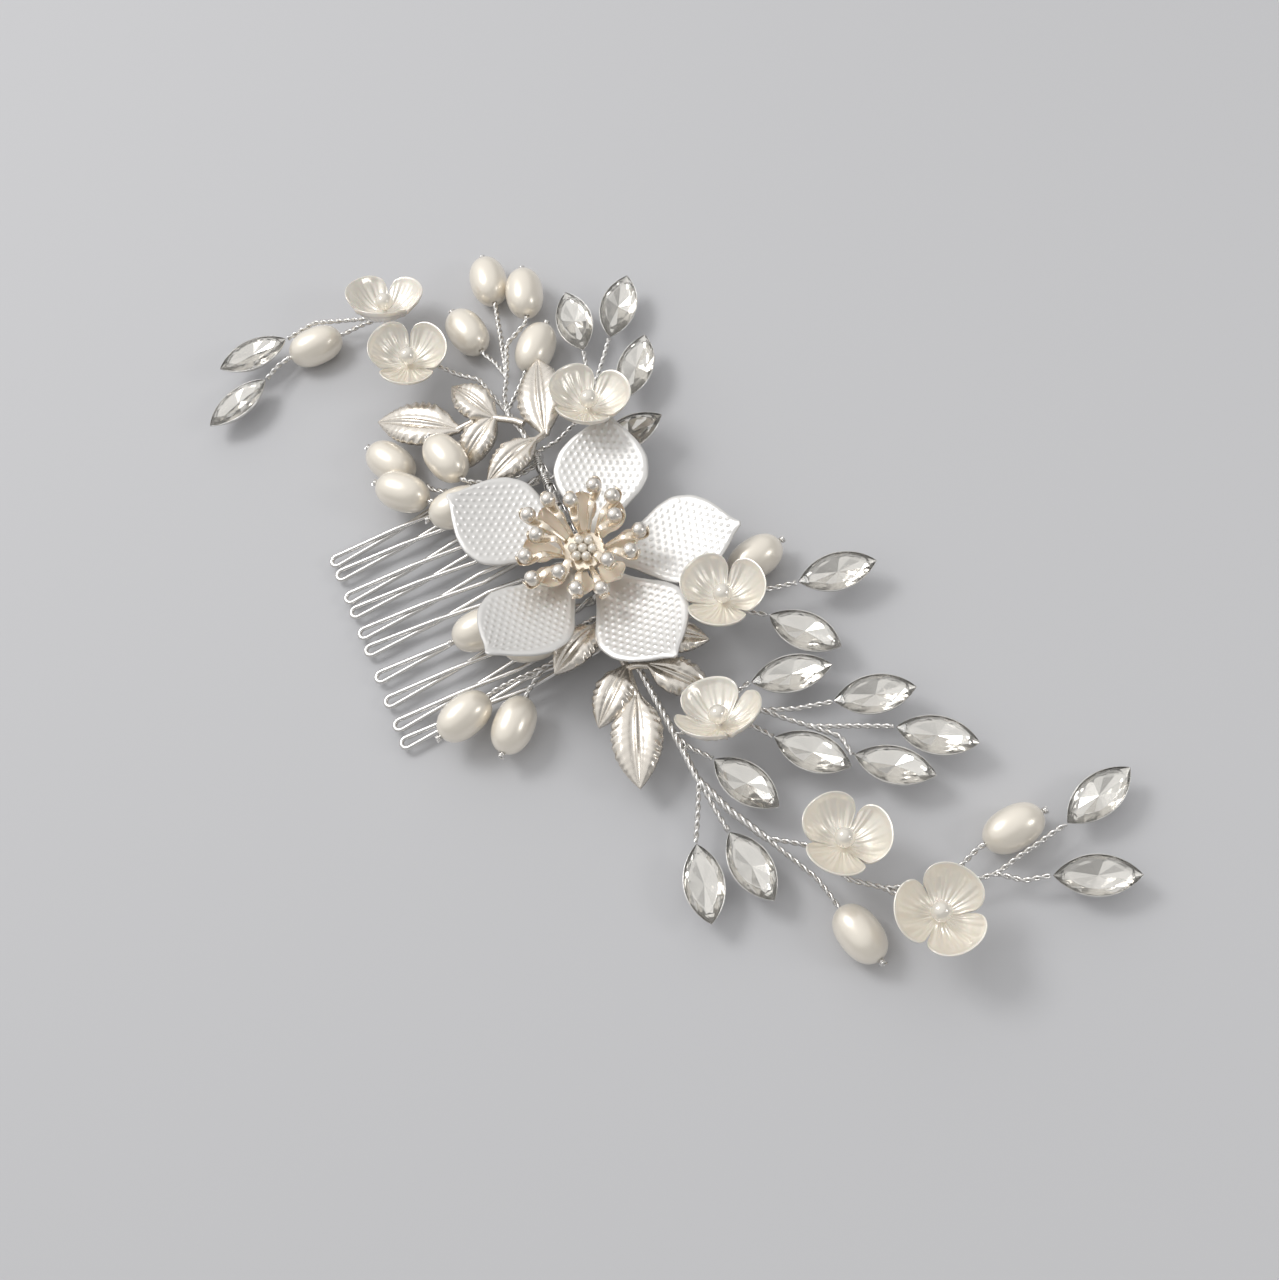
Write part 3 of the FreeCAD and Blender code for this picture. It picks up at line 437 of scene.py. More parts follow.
def wire_tree():
    """Strands of round wire laid on helices about each route, which wander a little as if twisted by hand."""
    real = ("Strand Diameter", "Lay Radius", "Turn Length", "Bend Radius", "Step", "Wander")
    tree, given = shape_tree("Laid wire", ("Strands", "Sides"), real)
    bend = {"Curve": given["Geometry"], "Count": 6, "Radius": given["Bend Radius"], "Limit Radius": True}
    bent = add(tree, "GeometryNodeFilletCurve", bend, mode="POLY")
    fine = add(tree, "GeometryNodeResampleCurve", {"Curve": bent, "Length": given["Step"]}, mode="LENGTH")
    even = add(tree, "GeometryNodeSetCurveNormal", {"Curve": fine}, mode="MINIMUM_TWIST")
    amount = {"Geometry": even, "Amount": given["Strands"]}
    laid = add(tree, "GeometryNodeDuplicateElements", amount, domain="SPLINE")
    place = add(tree, "GeometryNodeInputPosition")
    noise = add(tree, "ShaderNodeTexNoise", {"Vector": place, "Scale": WANDER_SCALE, "Detail": 0.0})
    centred = vector_node(tree, "SUBTRACT", noise.outputs["Color"], (0.5, 0.5, 0.5))
    wander = vector_node(tree, "SCALE", centred, Scale=given["Wander"])
    strand = math_node(tree, "DIVIDE", laid.outputs["Duplicate Index"], given["Strands"])
    along = add(tree, "GeometryNodeSplineParameter").outputs["Length"]
    turns = math_node(tree, "ADD", math_node(tree, "DIVIDE", along, given["Turn Length"]), strand)
    angle = math_node(tree, "MULTIPLY", turns, 2 * math.pi)
    normal = add(tree, "GeometryNodeInputNormal")
    side = vector_node(tree, "CROSS_PRODUCT", add(tree, "GeometryNodeInputTangent"), normal)
    parts = []
    for axis, wave in ((normal, "COSINE"), (side, "SINE")):
        reach = math_node(tree, "MULTIPLY", math_node(tree, wave, angle), given["Lay Radius"])
        parts.append(vector_node(tree, "SCALE", axis, Scale=reach))
    offset = vector_node(tree, "ADD", vector_node(tree, "ADD", *parts), wander)
    moved = add(tree, "GeometryNodeSetPosition", {"Geometry": laid, "Offset": offset})
    radius = math_node(tree, "DIVIDE", given["Strand Diameter"], 2.0)
    section = add(tree, "GeometryNodeCurvePrimitiveCircle", {"Resolution": given["Sides"], "Radius": radius})
    sweep = {"Curve": moved, "Profile Curve": section, "Fill Caps": True}
    return close_tree(tree, add(tree, "GeometryNodeCurveToMesh", sweep))


def dimple_tree():
    """Round dimples pressed up through a sheet in staggered rows, where its Stamped attribute is 1."""
    tree, given = shape_tree("Stamped dimples", (), ("Pitch", "Height", "Dimple Radius"))

    def step(*values):
        return math_node(tree, *values)

    place = add(tree, "ShaderNodeSeparateXYZ", {0: add(tree, "GeometryNodeInputPosition")}).outputs
    row_pitch = step("MULTIPLY", given["Pitch"], math.sqrt(3) / 2)
    row = step("DIVIDE", place["X"], row_pitch)
    near_row = step("ROUND", row)
    shift = step("PINGPONG", step("DIVIDE", near_row, 2.0), 0.5)
    along = step("ADD", step("DIVIDE", place["Y"], given["Pitch"]), shift)
    off_along = step("MULTIPLY", step("SUBTRACT", along, step("ROUND", along)), given["Pitch"])
    off_row = step("MULTIPLY", step("SUBTRACT", row, near_row), row_pitch)
    squares = [step("MULTIPLY", value, value) for value in (off_along, off_row)]
    distance = step("SQRT", step("ADD", *squares))
    edges = {"Value": distance, "From Min": given["Dimple Radius"], "From Max": 0.0}
    nearness = add(tree, "ShaderNodeMapRange", edges, interpolation_type="SMOOTHSTEP")
    stamped = add(tree, "GeometryNodeInputNamedAttribute", {"Name": "Stamped"}, data_type="FLOAT")
    height = step("MULTIPLY", step("MULTIPLY", nearness, stamped), given["Height"])
    lift = {"Geometry": given["Geometry"], "Offset": add(tree, "ShaderNodeCombineXYZ", {"Z": height})}
    return close_tree(tree, add(tree, "GeometryNodeSetPosition", lift))


def bead_tree():
    """A round bead on every point."""
    tree, given = shape_tree("Beads", ("Segments",), ("Bead Radius",))
    ball = {"Segments": given["Segments"], "Rings": given["Segments"], "Radius": given["Bead Radius"]}
    strung = {"Points": given["Geometry"], "Instance": add(tree, "GeometryNodeMeshUVSphere", ball)}
    return close_tree(tree, add(tree, "GeometryNodeInstanceOnPoints", strung))


def laid_wire(routes, strands, diameter, turn=None, bend=2.5, step=0.3, sides=8, wander=0.0):
    """The mesh of wires along routes: strands twisted to a diameter in metres, or a single plain wire.

    The bends' radius, the steps along the wire and the strands' wander are in millimetres.
    """
    curve = bpy.data.curves.new("routes", "CURVE")
    curve.dimensions = "3D"
    for route in routes:
        spline = curve.splines.new("POLY")
        spline.points.add(len(route) - 1)
        for point, place in zip(spline.points, route):
            point.co = (*place, 1)
    strand = diameter if strands == 1 else diameter / (1 + 1 / math.sin(math.pi / strands))
    values = {
        "Strands": strands,
        "Strand Diameter": strand,
        "Lay Radius": (diameter - strand) / 2,
        "Turn Length": turn or sizes().turn_length,
        "Bend Radius": bend * MM,
        "Step": step * MM,
        "Sides": sides,
        "Wander": wander * MM,
    }
    return round_off(grown(curve, "Laid wire", wire_tree, values))


def beads(points, diameter, segments=20):
    """The mesh of round beads, of a diameter in millimetres, at points."""
    mesh = bpy.data.meshes.new("points")
    mesh.from_pydata([tuple(point) for point in points], [], [])
    return grown(mesh, "Beads", bead_tree, {"Bead Radius": diameter * MM / 2, "Segments": segments})


# Materials

WIRE = "Rhodium-plated wire"
CASTING = "Silver-plated casting"
STAMPING = "Satin silver stamping"
PADDLE = "Champagne lacquer"
STRIP = "Champagne silver"
BALL = "Satin rhodium"
CENTRE_GLASS = "Champagne glass bead"
SEED_GLASS = "Pearlised glass bead"
PEARL = "Ivory pearl lacquer"
RESIN = "Pearlised resin"
CRYSTAL = "Cut crystal glass"
FOIL = "Stone foil"
FLOOR = "Plain floor"

# Each finish: its colour in the panel (none is clear white), how metallic and how rough it is, and more of
# the shader's values; then its wear, a noise's grain with the limits between which it moves the roughness;
# then its relief, a noise's grain and detail with the depth and strength of its bump.
FINISHES = {
    # Drawn and bright, with faint wear.
    WIRE: ("silver", 1.0, 0.2, {}, (1.5, 0.16, 0.3), None),
    # White metal with bright highs and the soft waves that casting leaves.
    CASTING: ("casting", 1.0, 0.28, {}, (0.8, 0.22, 0.34), (2.2, 2.0, 0.22, 0.4)),
    # Satin lacquer on stamped brass: white, softly shiny, with a fine grain.
    STAMPING: ("petal", 0.6, 0.4, {"Coat Weight": 0.2, "Coat Roughness": 0.25}, None, (0.35, 2.0, 0.02, 0.4)),
    # Warm cream with a silk sheen.
    PADDLE: (
        "champagne", 0.1, 0.32,
        {"Coat Weight": 0.6, "Coat Roughness": 0.08, "Subsurface Weight": 0.2, "Subsurface Scale": MM},
        None, None,
    ),
    # The warm satin plate of the stamens' strips and the hub.
    STRIP: ("champagne", 0.85, 0.26, {"Coat Weight": 0.3, "Coat Roughness": 0.1}, None, None),
    # Soft and bright.
    BALL: ("ball", 1.0, 0.3, {}, (1.2, 0.2, 0.36), None),
    # Polished, half clear and warm.
    CENTRE_GLASS: (
        "bead", 0.35, 0.18,
        {"IOR": 1.52, "Transmission Weight": 0.15, "Coat Weight": 1.0, "Coat Roughness": 0.02}, None, None,
    ),
    # Milky and bright, with a clear gloss that catches the lamps.
    SEED_GLASS: (
        "bead", 0.25, 0.16,
        {"IOR": 1.52, "Transmission Weight": 0.1, "Coat Weight": 1.0, "Coat Roughness": 0.02}, None, None,
    ),
    # A soft deep lustre under a clear gloss.
    PEARL: (
        "pearl", 0.38, 0.3, {"IOR": 1.55, "Coat Weight": 0.9, "Coat Roughness": 0.04},
        (4.0, 0.26, 0.36), None,
    ),
    # Moulded with pearl pigment: creamy, a little translucent, with a faint relief.
    RESIN: (
        "resin", 0.5, 0.3,
        {"Coat Weight": 0.6, "Coat Roughness": 0.1, "Subsurface Weight": 0.1, "Subsurface Scale": MM},
        None, (0.9, 3.0, 0.12, 0.5),
    ),
    # Clear, with sharp polished facets.
    CRYSTAL: (None, 0.0, 0.0, {"Transmission Weight": 1.0}, None, None),
    # Silver behind the pavilion that sends the light back through the facets.
    FOIL: ("foil", 0.8, 0.1, {}, None, None),
    FLOOR: ("floor", 0.0, 0.9, {}, None, None),
}


def finish(name):
    """The material of a finish, made the first time it is asked for."""
    if name in bpy.data.materials:
        return bpy.data.materials[name]
    tint, metallic, roughness, more, wear, relief = FINISHES[name]
    base = (*getattr(bpy.context.scene.comb_colours, tint), 1) if tint else (1, 1, 1, 1)
    made = bpy.data.materials.new(name)
    made.use_nodes = True
    made.diffuse_color = base
    tree = made.node_tree
    shader = tree.nodes["Principled BSDF"]
    values = {"Base Color": base, "Metallic": metallic, "Roughness": roughness, "IOR": 1.5, **more}
    for label, value in values.items():
        shader.inputs[label].default_value = value

    def noise(grain, detail):
        place = add(tree, "ShaderNodeTexCoord").outputs["Object"]
        inputs = {"Vector": place, "Scale": 1 / (grain * MM), "Detail": detail}
        return add(tree, "ShaderNodeTexNoise", inputs)

    if relief:
        grain, detail, depth, strength = relief
        bump = {"Height": noise(grain, detail), "Distance": depth * MM, "Strength": strength}
        tree.links.new(add(tree, "ShaderNodeBump", bump).outputs[0], shader.inputs["Normal"])
    if wear:
        grain, low, high = wear
        spread = {"Value": noise(grain, 2.0), "To Min": low, "To Max": high}
        tree.links.new(add(tree, "ShaderNodeMapRange", spread).outputs[0], shader.inputs["Roughness"])
    return made


# Comb

# How far each tine's tip stands to the right of its root: the tines are bent by hand.
TIP_LEANS = (1.5, 0.0, 0.7, -0.7, -0.5, -1.4, 0.0, 0.8, 1.3, 0.4)
# Where a tine's legs bow apart and where they cross, beyond the neck.
BOW_REACH = 7
CROSSING_REACH = 19
NECK_TURNS = 1.5
# How many points make a turn of the neck, and the half turn of a tine's end.
TINE_STEPS = 8
SPINE_OVERHANG = 1.5
EYE_TURNS = 2
# The pitch of the binding's turns, as a multiple of its wire.
BINDING_PITCH = 1.25


def tine_root(index):
    """Where a tine meets the spine."""
    half = SPINE_HALF - SPINE_OVERHANG * MM
    return -half + index * 2 * half / (sizes().tine_count - 1)


def tine_route(root, lean):
    """One hairpin: down a strand of the neck, round the U bend and up the other strand."""
    s = sizes()
    spread, half_wire = s.tine_gap / 2, s.tine_wire / 2
    bend_start = s.tine_length - half_wire - spread
    side = []
    top = SPINE_RADIUS + half_wire
    steps = int(NECK_TURNS * TINE_STEPS)
    for i in range(steps + 1):
        down = top + (s.neck_length - top) * i / steps
        turn = 2 * math.pi * NECK_TURNS * (1 - i / steps)
        side.append((down, half_wire * math.cos(turn), half_wire * math.sin(turn)))
    side.append((s.neck_length + BOW_REACH * MM, spread, 0))
    side.append((s.neck_length + CROSSING_REACH * MM, 0, half_wire))
    side.append((bend_start, -spread, 0))
    bend = []
    for i in range(1, TINE_STEPS):
        turn = math.pi * i / TINE_STEPS
        bend.append((bend_start + spread * math.sin(turn), -spread * math.cos(turn), 0))
    route = []
    for down, aside, lift in side + bend + [(d, -a, -z) for d, a, z in reversed(side)]:
        share = down / s.tine_length
        route.append(Vector((root + lean * MM * share + aside, -down, lift - s.tine_droop * share)))
    return route


def eye_route(root):
    """The turns that a tine's wire makes round the spine."""
    wire = sizes().tine_wire
    return coil(root - wire / 2, wire, EYE_TURNS, SPINE_RADIUS + wire / 2, math.pi)


def binding_route():
    """The fine wire round spine and vine: some turns between each pair of eyes, then on to the next gap."""
    wire = sizes().binding_wire
    low, high = SPINE_RADIUS + wire, sizes().rope_diameter / 2 + wire / 2
    pitch = tine_root(1) - tine_root(0)
    span = pitch - 2 * sizes().tine_wire - 2 * wire
    steps = int(span / (BINDING_PITCH * wire)) * COIL_STEPS
    route = []
    for gap in range(sizes().tine_count - 1):
        start = tine_root(gap) + (pitch - span) / 2
        for i in range(steps + 1):
            turn = -2 * math.pi * i / COIL_STEPS
            radius, level = (high, vine_level()) if math.sin(turn) >= -1e-6 else (low, 0)
            route.append(about_x(start + span * i / steps, radius, turn) + UP * level)
    return route


class HAIRCOMB_OT_comb(bpy.types.Operator):
    """Makes the ten hairpin tines, the spine's finish and the binding wire"""

    bl_idname = "hair_comb.comb"
    bl_label = "Comb"

    def execute(self, context):
        s = sizes()
        dress("comb_spine", WIRE)
        tines = [tine_route(tine_root(i), TIP_LEANS[i % len(TIP_LEANS)]) for i in range(s.tine_count)]
        tines += [eye_route(tine_root(i)) for i in range(s.tine_count)]
        finished("tines", laid_wire(tines, 1, s.tine_wire, bend=8, step=0.4, sides=12), "comb_tines", WIRE)
        mesh = laid_wire([binding_route()], 1, s.binding_wire, bend=1, step=0.25, sides=6)
        finished("binding", mesh, "binding_wire", WIRE)
        return {"FINISHED"}


# Large flower

# Each large petal's heading and tilt.
LARGE_PETALS = ((149, 4), (221, 7), (303, 18), (14, 7), (74, 3))
# A petal's half width at shares of its length, as shares of half its greatest width.
PETAL_OUTLINE = (
    (0.06, 0.09), (0.16, 0.24), (0.28, 0.41), (0.4, 0.68), (0.5, 0.9), (0.6, 1.0), (0.7, 0.95), (0.8, 0.76),
    (0.89, 0.45), (0.95, 0.19), (1.0, 0.03),
)
PETAL_ROWS = 110
PETAL_COLUMNS = 66
# A petal's dish: its radius, and how far along the petal its lowest point lies.
DISH_RADIUS = 60
DISH_CENTRE = 13
# The plain turned-down border of a stamped petal: its width, its drop and the power of its curve.
FLANGE = 0.9
FLANGE_DROP = 0.3
FLANGE_CURVE = 1.3
# What part of the distance to the tip counts as distance to the edge.
FLANGE_TIP = 0.6
# The share of the petal's length at which the border starts, and the share over which it grows.
FLANGE_START, FLANGE_GROWTH = 0.2, 0.15
# Where the stamping starts, in widths of the border from the edge and as a share of the petal's length, and
# how fast it comes in from each.
STAMP_EDGE, EDGE_RATE = 1.05, 3
STAMP_START, START_RATE = 0.3, 20
# A dimple's radius as a share of their pitch.
DIMPLE_SHARE = 0.29
SHEET_BULGE = 0.12
# The thickness of the hub's head.
HUB_HEAD = 0.8


def petal_level():
    """The level of the petals' roots, halfway up the hub's post."""
    return HUB_LOW.z + (HUB_HIGH.z - HUB_LOW.z - HUB_HEAD * MM) / 2


def petal_rows(lift):
    """Rows of points across a petal's face, and how far each point is stamped."""
    s = sizes()
    root = PETAL_OUTLINE[0][0]
    rows, stamped = [], []
    for i in range(PETAL_ROWS + 1):
        share = root + (1 - root) * i / PETAL_ROWS
        x = share * s.petal_length
        half = eased(PETAL_OUTLINE, share) * s.petal_width / 2
        drop = FLANGE_DROP * clamped((share - FLANGE_START) / FLANGE_GROWTH)
        row = []
        for j in range(PETAL_COLUMNS + 1):
            v = 2 * j / PETAL_COLUMNS - 1
            y = half * v
            inside = min(half * (1 - abs(v)), (s.petal_length - x) * FLANGE_TIP) / (FLANGE * MM)
            dish = ((x / MM - DISH_CENTRE) ** 2 + (y / MM) ** 2 - DISH_CENTRE**2) / (2 * DISH_RADIUS)
            row.append(Vector((x, y, (dish - drop * clamped(1 - inside) ** FLANGE_CURVE) * MM + lift)))
            stamp = clamped((inside - STAMP_EDGE) * EDGE_RATE) * clamped((share - STAMP_START) * START_RATE)
            stamped.append(stamp)
        rows.append(row)
    return rows, stamped


def petal_mesh():
    """A large petal along +X from the hub's axis, stamped with dimples."""
    s = sizes()
    upper, stamped = petal_rows(0)
    lower, _ = petal_rows(-s.petal_thickness)
    mesh = loops_mesh(sheet_loops(upper, lower, SHEET_BULGE))
    width = PETAL_COLUMNS + 1
    values = []
    for i in range(PETAL_ROWS + 1):
        row = stamped[i * width : (i + 1) * width]
        values += row + [0.0] + row[::-1] + [0.0]
    mesh.attributes.new("Stamped", "FLOAT", "POINT").data.foreach_set("value", values)
    dimples = {
        "Pitch": s.dimple_pitch, "Height": s.dimple_height, "Dimple Radius": DIMPLE_SHARE * s.dimple_pitch,
    }
    return round_off(grown(mesh, "Stamped dimples", dimple_tree, dimples))


class HAIRCOMB_OT_petals(bpy.types.Operator):
    """Makes the five stamped petals of the large flower"""

    bl_idname = "hair_comb.petals"
    bl_label = "Large petals"

    def execute(self, context):
        form = petal_mesh()
        level = HUB_AXIS + UP * petal_level()
        for number, (heading, tilt) in enumerate(LARGE_PETALS, start=1):
            petal = joined((form, [aim(level, heading, tilt)]))
            finished(f"stamped_petal_{number}", petal, f"large_petal_{number}", STAMPING)
        return {"FINISHED"}


# Centre of the large flower

STAMEN_COUNT = 15
# How far from the hub's axis, and above its head, the solids' stamens end under their balls, in turn.
STAMEN_ENDS = ((10.0, 5.0), (6.6, 6.6), (9.0, 5.6))
# The height of a solid stamen's arch over the line between its ends, as a share of its rise.
STAMEN_ARCH = 0.65
# Where a stamen leaves the hub's head, in the solids and here, inwards from its rim.
SOLID_FOOT = 0.55
STAMEN_FOOT = 0.1
# A stamen's curl under its ball: how far out from the ball's middle and above it each point lies.
STAMEN_CURL = ((-3.6, -1.7), (-1.0, -2.0), (0.6, -1.72), (1.55, -0.9), (1.72, 0.3))
# A stamen's width at shares of its length, and its thickness.
STAMEN_WIDTHS = ((0.0, 0.8), (0.25, 1.5), (0.5, 2.2), (0.75, 2.0), (1.0, 1.2))
STAMEN_THICKNESS = 0.36
# The power that squares a stamen's section, and how many points go between two of its curl's and round it.
STAMEN_SQUARE = 0.6
STAMEN_STEPS, STAMEN_SIDES = 8, 16
STAMEN_BALL = 3.0
PADDLE_COUNT = 8
PADDLE_LENGTH = 7.4
PADDLE_WIDTH = 5.3
PADDLE_THICKNESS = 0.35
PADDLE_CLIMB = 18
# A paddle's half width at shares of its length, as shares of half its greatest width.
PADDLE_OUTLINE = ((0, 0.26), (0.2, 0.45), (0.42, 0.86), (0.62, 1.0), (0.8, 0.88), (0.93, 0.55), (1, 0.08))
PADDLE_ROWS = 24
PADDLE_COLUMNS = 16
# How far a paddle's sides turn up and how fast they start to, and how far its tip does.
PADDLE_CUP, CUP_RATE = 0.8, 1.6
PADDLE_TIP = 1.1
# How far out from the hub's rim, and under its top, a paddle starts.
PADDLE_START = 0.35
PADDLE_DROP = 0.6
CENTRE_BEAD = 1.9
SEAT_GAP = 0.02


def smoothed(points, steps):
    """Points of a smooth curve through given points."""
    ends = [2 * points[0] - points[1], *points, 2 * points[-1] - points[-2]]
    curve = []
    for a, b, c, d in zip(ends, ends[1:], ends[2:], ends[3:]):
        for t in (i / steps for i in range(steps)):
            square, cube = 2 * a - 5 * b + 4 * c - d, 3 * b - a - 3 * c + d
            curve.append((2 * b + (c - a) * t + square * t**2 + cube * t**3) / 2)
    return [*curve, points[-1]]


def stamen_mesh(index):
    """A stamen, a strip that runs out over the paddles and curls up round its ball, and the ball's middle."""
    heading = 360 * index / STAMEN_COUNT
    reach, rise = STAMEN_ENDS[index % len(STAMEN_ENDS)]
    top = HUB_AXIS + UP * (HUB_HIGH.z + SEAT_GAP * MM)
    out, side = bearing(heading), bearing(heading + 90)
    foot = top + out * (HUB_RADIUS - SOLID_FOOT * MM)
    end = top + (out * reach + UP * rise) * MM
    crest = (foot + end) / 2 + UP * STAMEN_ARCH * rise * MM
    ball = end + (end - crest).normalized() * STAMEN_BALL / 2 * MM
    start = top + out * (HUB_RADIUS - STAMEN_FOOT * MM) + UP * STAMEN_THICKNESS / 2 * MM
    curl = [ball + (out * beyond + UP * above) * MM for beyond, above in STAMEN_CURL]
    curve = smoothed([start, *curl], STAMEN_STEPS)
    loops = []
    for n, point in enumerate(curve):
        along = curve[min(n + 1, len(curve) - 1)] - curve[max(n - 1, 0)]
        face = side.cross(along).normalized()
        width = eased(STAMEN_WIDTHS, n / (len(curve) - 1))
        loop = []
        for turn in circle(STAMEN_SIDES):
            across = math.copysign(abs(math.cos(turn)) ** STAMEN_SQUARE, math.cos(turn)) * width / 2
            loop.append(point + (side * across + face * math.sin(turn) * STAMEN_THICKNESS / 2) * MM)
        loops.append(loop)
    return round_off(loops_mesh(loops)), ball


def paddle_mesh():
    """A cupped champagne paddle along +X, like a spoon with a narrow neck."""
    faces = []
    for side in (1, -1):
        face = []
        for i in range(PADDLE_ROWS + 1):
            share = i / PADDLE_ROWS
            half = eased(PADDLE_OUTLINE, share) * PADDLE_WIDTH / 2
            row = []
            for j in range(PADDLE_COLUMNS + 1):
                v = 2 * j / PADDLE_COLUMNS - 1
                cup = PADDLE_CUP * v * v * clamped(CUP_RATE * share) + PADDLE_TIP * share**3
                row.append(Vector((share * PADDLE_LENGTH, half * v, cup + PADDLE_THICKNESS / 2 * side)) * MM)
            face.append(row)
        faces.append(face)
    return round_off(loops_mesh(sheet_loops(*faces, bulge=0.1)))


class HAIRCOMB_OT_centre(bpy.types.Operator):
    """Makes the stamens, paddles and beads in the middle of the large flower"""

    bl_idname = "hair_comb.centre"
    bl_label = "Flower centre"

    def execute(self, context):
        dress("flower_hub", STRIP)
        curls = [stamen_mesh(i) for i in range(STAMEN_COUNT)]
        finished("stamens", joined(*((mesh, [Matrix()]) for mesh, _ in curls)), "stamen_wires", STRIP)
        balls = beads([ball for _, ball in curls], STAMEN_BALL, FINE_BEAD)
        finished("stamen_balls", balls, "stamen_beads", BALL)
        seat = HUB_AXIS + UP * (HUB_HIGH.z - PADDLE_DROP * MM)
        start = HUB_RADIUS + PADDLE_START * MM
        turns = [360 * (i + 0.5) / PADDLE_COUNT for i in range(PADDLE_COUNT)]
        fan = [aim(seat + bearing(turn) * start, turn, PADDLE_CLIMB) for turn in turns]
        finished("paddles", joined((paddle_mesh(), fan)), "champagne_paddles", PADDLE)
        level = HUB_AXIS + UP * (HUB_HIGH.z + (SEAT_GAP + CENTRE_BEAD / 2) * MM)
        ring = [level] + [level + bearing(60 * i) * (CENTRE_BEAD + SEAT_GAP) * MM for i in range(6)]
        finished("centre_glass", beads(ring, CENTRE_BEAD), "centre_beads", CENTRE_GLASS)
        return {"FINISHED"}


# Small flowers

FLOWER_HUB = 1.5
FLOWER_NOTCH = 3.6
FLOWER_REACH = 8.2
FLOWER_SHEET = 0.6
# How deep a flower is, and the power by which it rises outwards.
FLOWER_DEPTH = 4.8
FLOWER_CURVE = 2.1
# How far a small petal's sides rise above its middle, and the powers that round its rim.
FLOWER_CUP = 0.55
FLOWER_RIM = (3, 0.33)
PETAL_STEPS = 56
# A flower's creases: how many cross each petal, where they start, and how deep they are.
CREASES = ((3.2, 0.0, 0.1), (5.3, 0.35, 0.11), (9.7, 0.8, 0.08), (14.3, 0.5, 0.045))
# How the creases shift from petal to petal, how deep they are at the hub and how much they gain outwards,
# how fast they come in there, and the share of the way to the rim at which they end, with the power by which
# they fade.
CREASE_SHIFT = 0.21
CREASE_DEPTHS = (0.7, 0.7)
CREASE_RATE = 6
CREASE_END, CREASE_FADE = 0.93, 5
# A flower's faces end in a rounded lip: where they end and where the lip's middle lies, as shares of the way
# to the rim, and how full the lip is.
FACE_END = 0.9
LIP_MIDDLE = 0.925
LIP_FULLNESS = 1.7
FACE_STEPS, LIP_STEPS = 18, 8
SEED_BEAD = 3.7
# How high a seed bead's middle stands over the flower's underside, on the stub of its wire.
SEED_LEVEL = 3.1
SEED_WIRE = 0.9
# How each flower settles from its node's place: its shift, its lean's heading and angle, a petal's turn.
FLOWER_LIES = (
    ((1.1, -1.7, -0.7), 138, 26, -27),
    ((0.8, -0.9, -0.7), 78, 11, -22),
    ((0.9, -1.2, -0.4), 116, 17, -36),
    ((1.1, -0.9, 0.8), 125, 7, -36),
    ((1.1, -1.3, -0.7), 161, 26, -63),
    ((0.5, -1.4, 0.2), 105, 12, -47),
    ((-0.4, -0.4, 1.1), 45, 8, 8),
)


def flower_lie(number):
    """Where a small flower stands, by its underside's middle: its node's place, settled by its listed shift,
    lean and turn.
    """
    shift, heading, lean, turn = FLOWER_LIES[number - 1]
    base = flower_base(cad_solids(f"small_flower_{number}")[0]) + Vector(shift) * MM
    up = bearing(heading, 90 - lean)
    level = axes_matrix(base, Vector((1, 0, 0)) - up * up.x, up)
    return level @ Matrix.Rotation(math.radians(turn), 4, "Z")


def flower_loop(share, lift):
    """The loop round a small flower at a share of the way from its hub to its rim."""
    loop = []
    for petal in range(3):
        for k in range(PETAL_STEPS):
            v = 2 * k / PETAL_STEPS - 1
            rim = (1 - abs(v) ** FLOWER_RIM[0]) ** FLOWER_RIM[1]
            rim = FLOWER_NOTCH + (FLOWER_REACH - FLOWER_NOTCH) * rim
            out = FLOWER_HUB + (rim - FLOWER_HUB) * share
            way = (out - FLOWER_HUB) / (FLOWER_REACH - FLOWER_HUB)
            fold = 0
            for count, start, depth in CREASES:
                fold += depth * math.cos(2 * math.pi * count * (v / 2 + start + CREASE_SHIFT * petal))
            deepening = CREASE_DEPTHS[0] + CREASE_DEPTHS[1] * way
            fold *= deepening * clamped(CREASE_RATE * way) * clamped(1 - (way / CREASE_END) ** CREASE_FADE)
            rise = FLOWER_DEPTH * way**FLOWER_CURVE + fold + FLOWER_CUP * way * v * v
            turn = math.radians(120 * petal + 60 * v)
            loop.append(Vector((out * math.cos(turn), out * math.sin(turn), lift + rise)) * MM)
    return loop


def flower_mesh():
    """A small three-petalled flower, open towards +Z, its underside at level 0 and a petal towards +X."""
    shares = [FACE_END * i / FACE_STEPS for i in range(FACE_STEPS + 1)]
    half = FLOWER_SHEET / 2
    loops = [flower_loop(share, 0) for share in shares]
    for i in range(LIP_STEPS + 1):
        turn = math.pi * (i / LIP_STEPS - 0.5)
        share = LIP_MIDDLE + (1 - LIP_MIDDLE) * math.cos(turn)
        loops.append(flower_loop(share, half + LIP_FULLNESS * half * math.sin(turn)))
    loops += [flower_loop(share, FLOWER_SHEET) for share in reversed(shares)]
    return round_off(loops_mesh(loops))


class HAIRCOMB_OT_small_flowers(bpy.types.Operator):
    """Makes the seven pearlised flowers and their seed beads"""

    bl_idname = "hair_comb.small_flowers"
    bl_label = "Small flowers"

    def execute(self, context):
        form = flower_mesh()
        seeds, stubs = [], []
        for number in range(1, len(FLOWER_LIES) + 1):
            place = flower_lie(number)
            finished(f"flower_{number}", joined((form, [place])), f"small_flower_{number}", RESIN)
            stubs.append([place @ (UP * level * MM) for level in (FLOWER_SHEET / 2, SEED_LEVEL)])
            seeds.append(stubs[-1][1])
        finished("seeds", beads(seeds, SEED_BEAD, FINE_BEAD), "seed_beads", SEED_GLASS)
        finished("seed_stubs", laid_wire(stubs, 1, SEED_WIRE * MM, bend=0.1), None, WIRE)
        return {"FINISHED"}


# Pearls

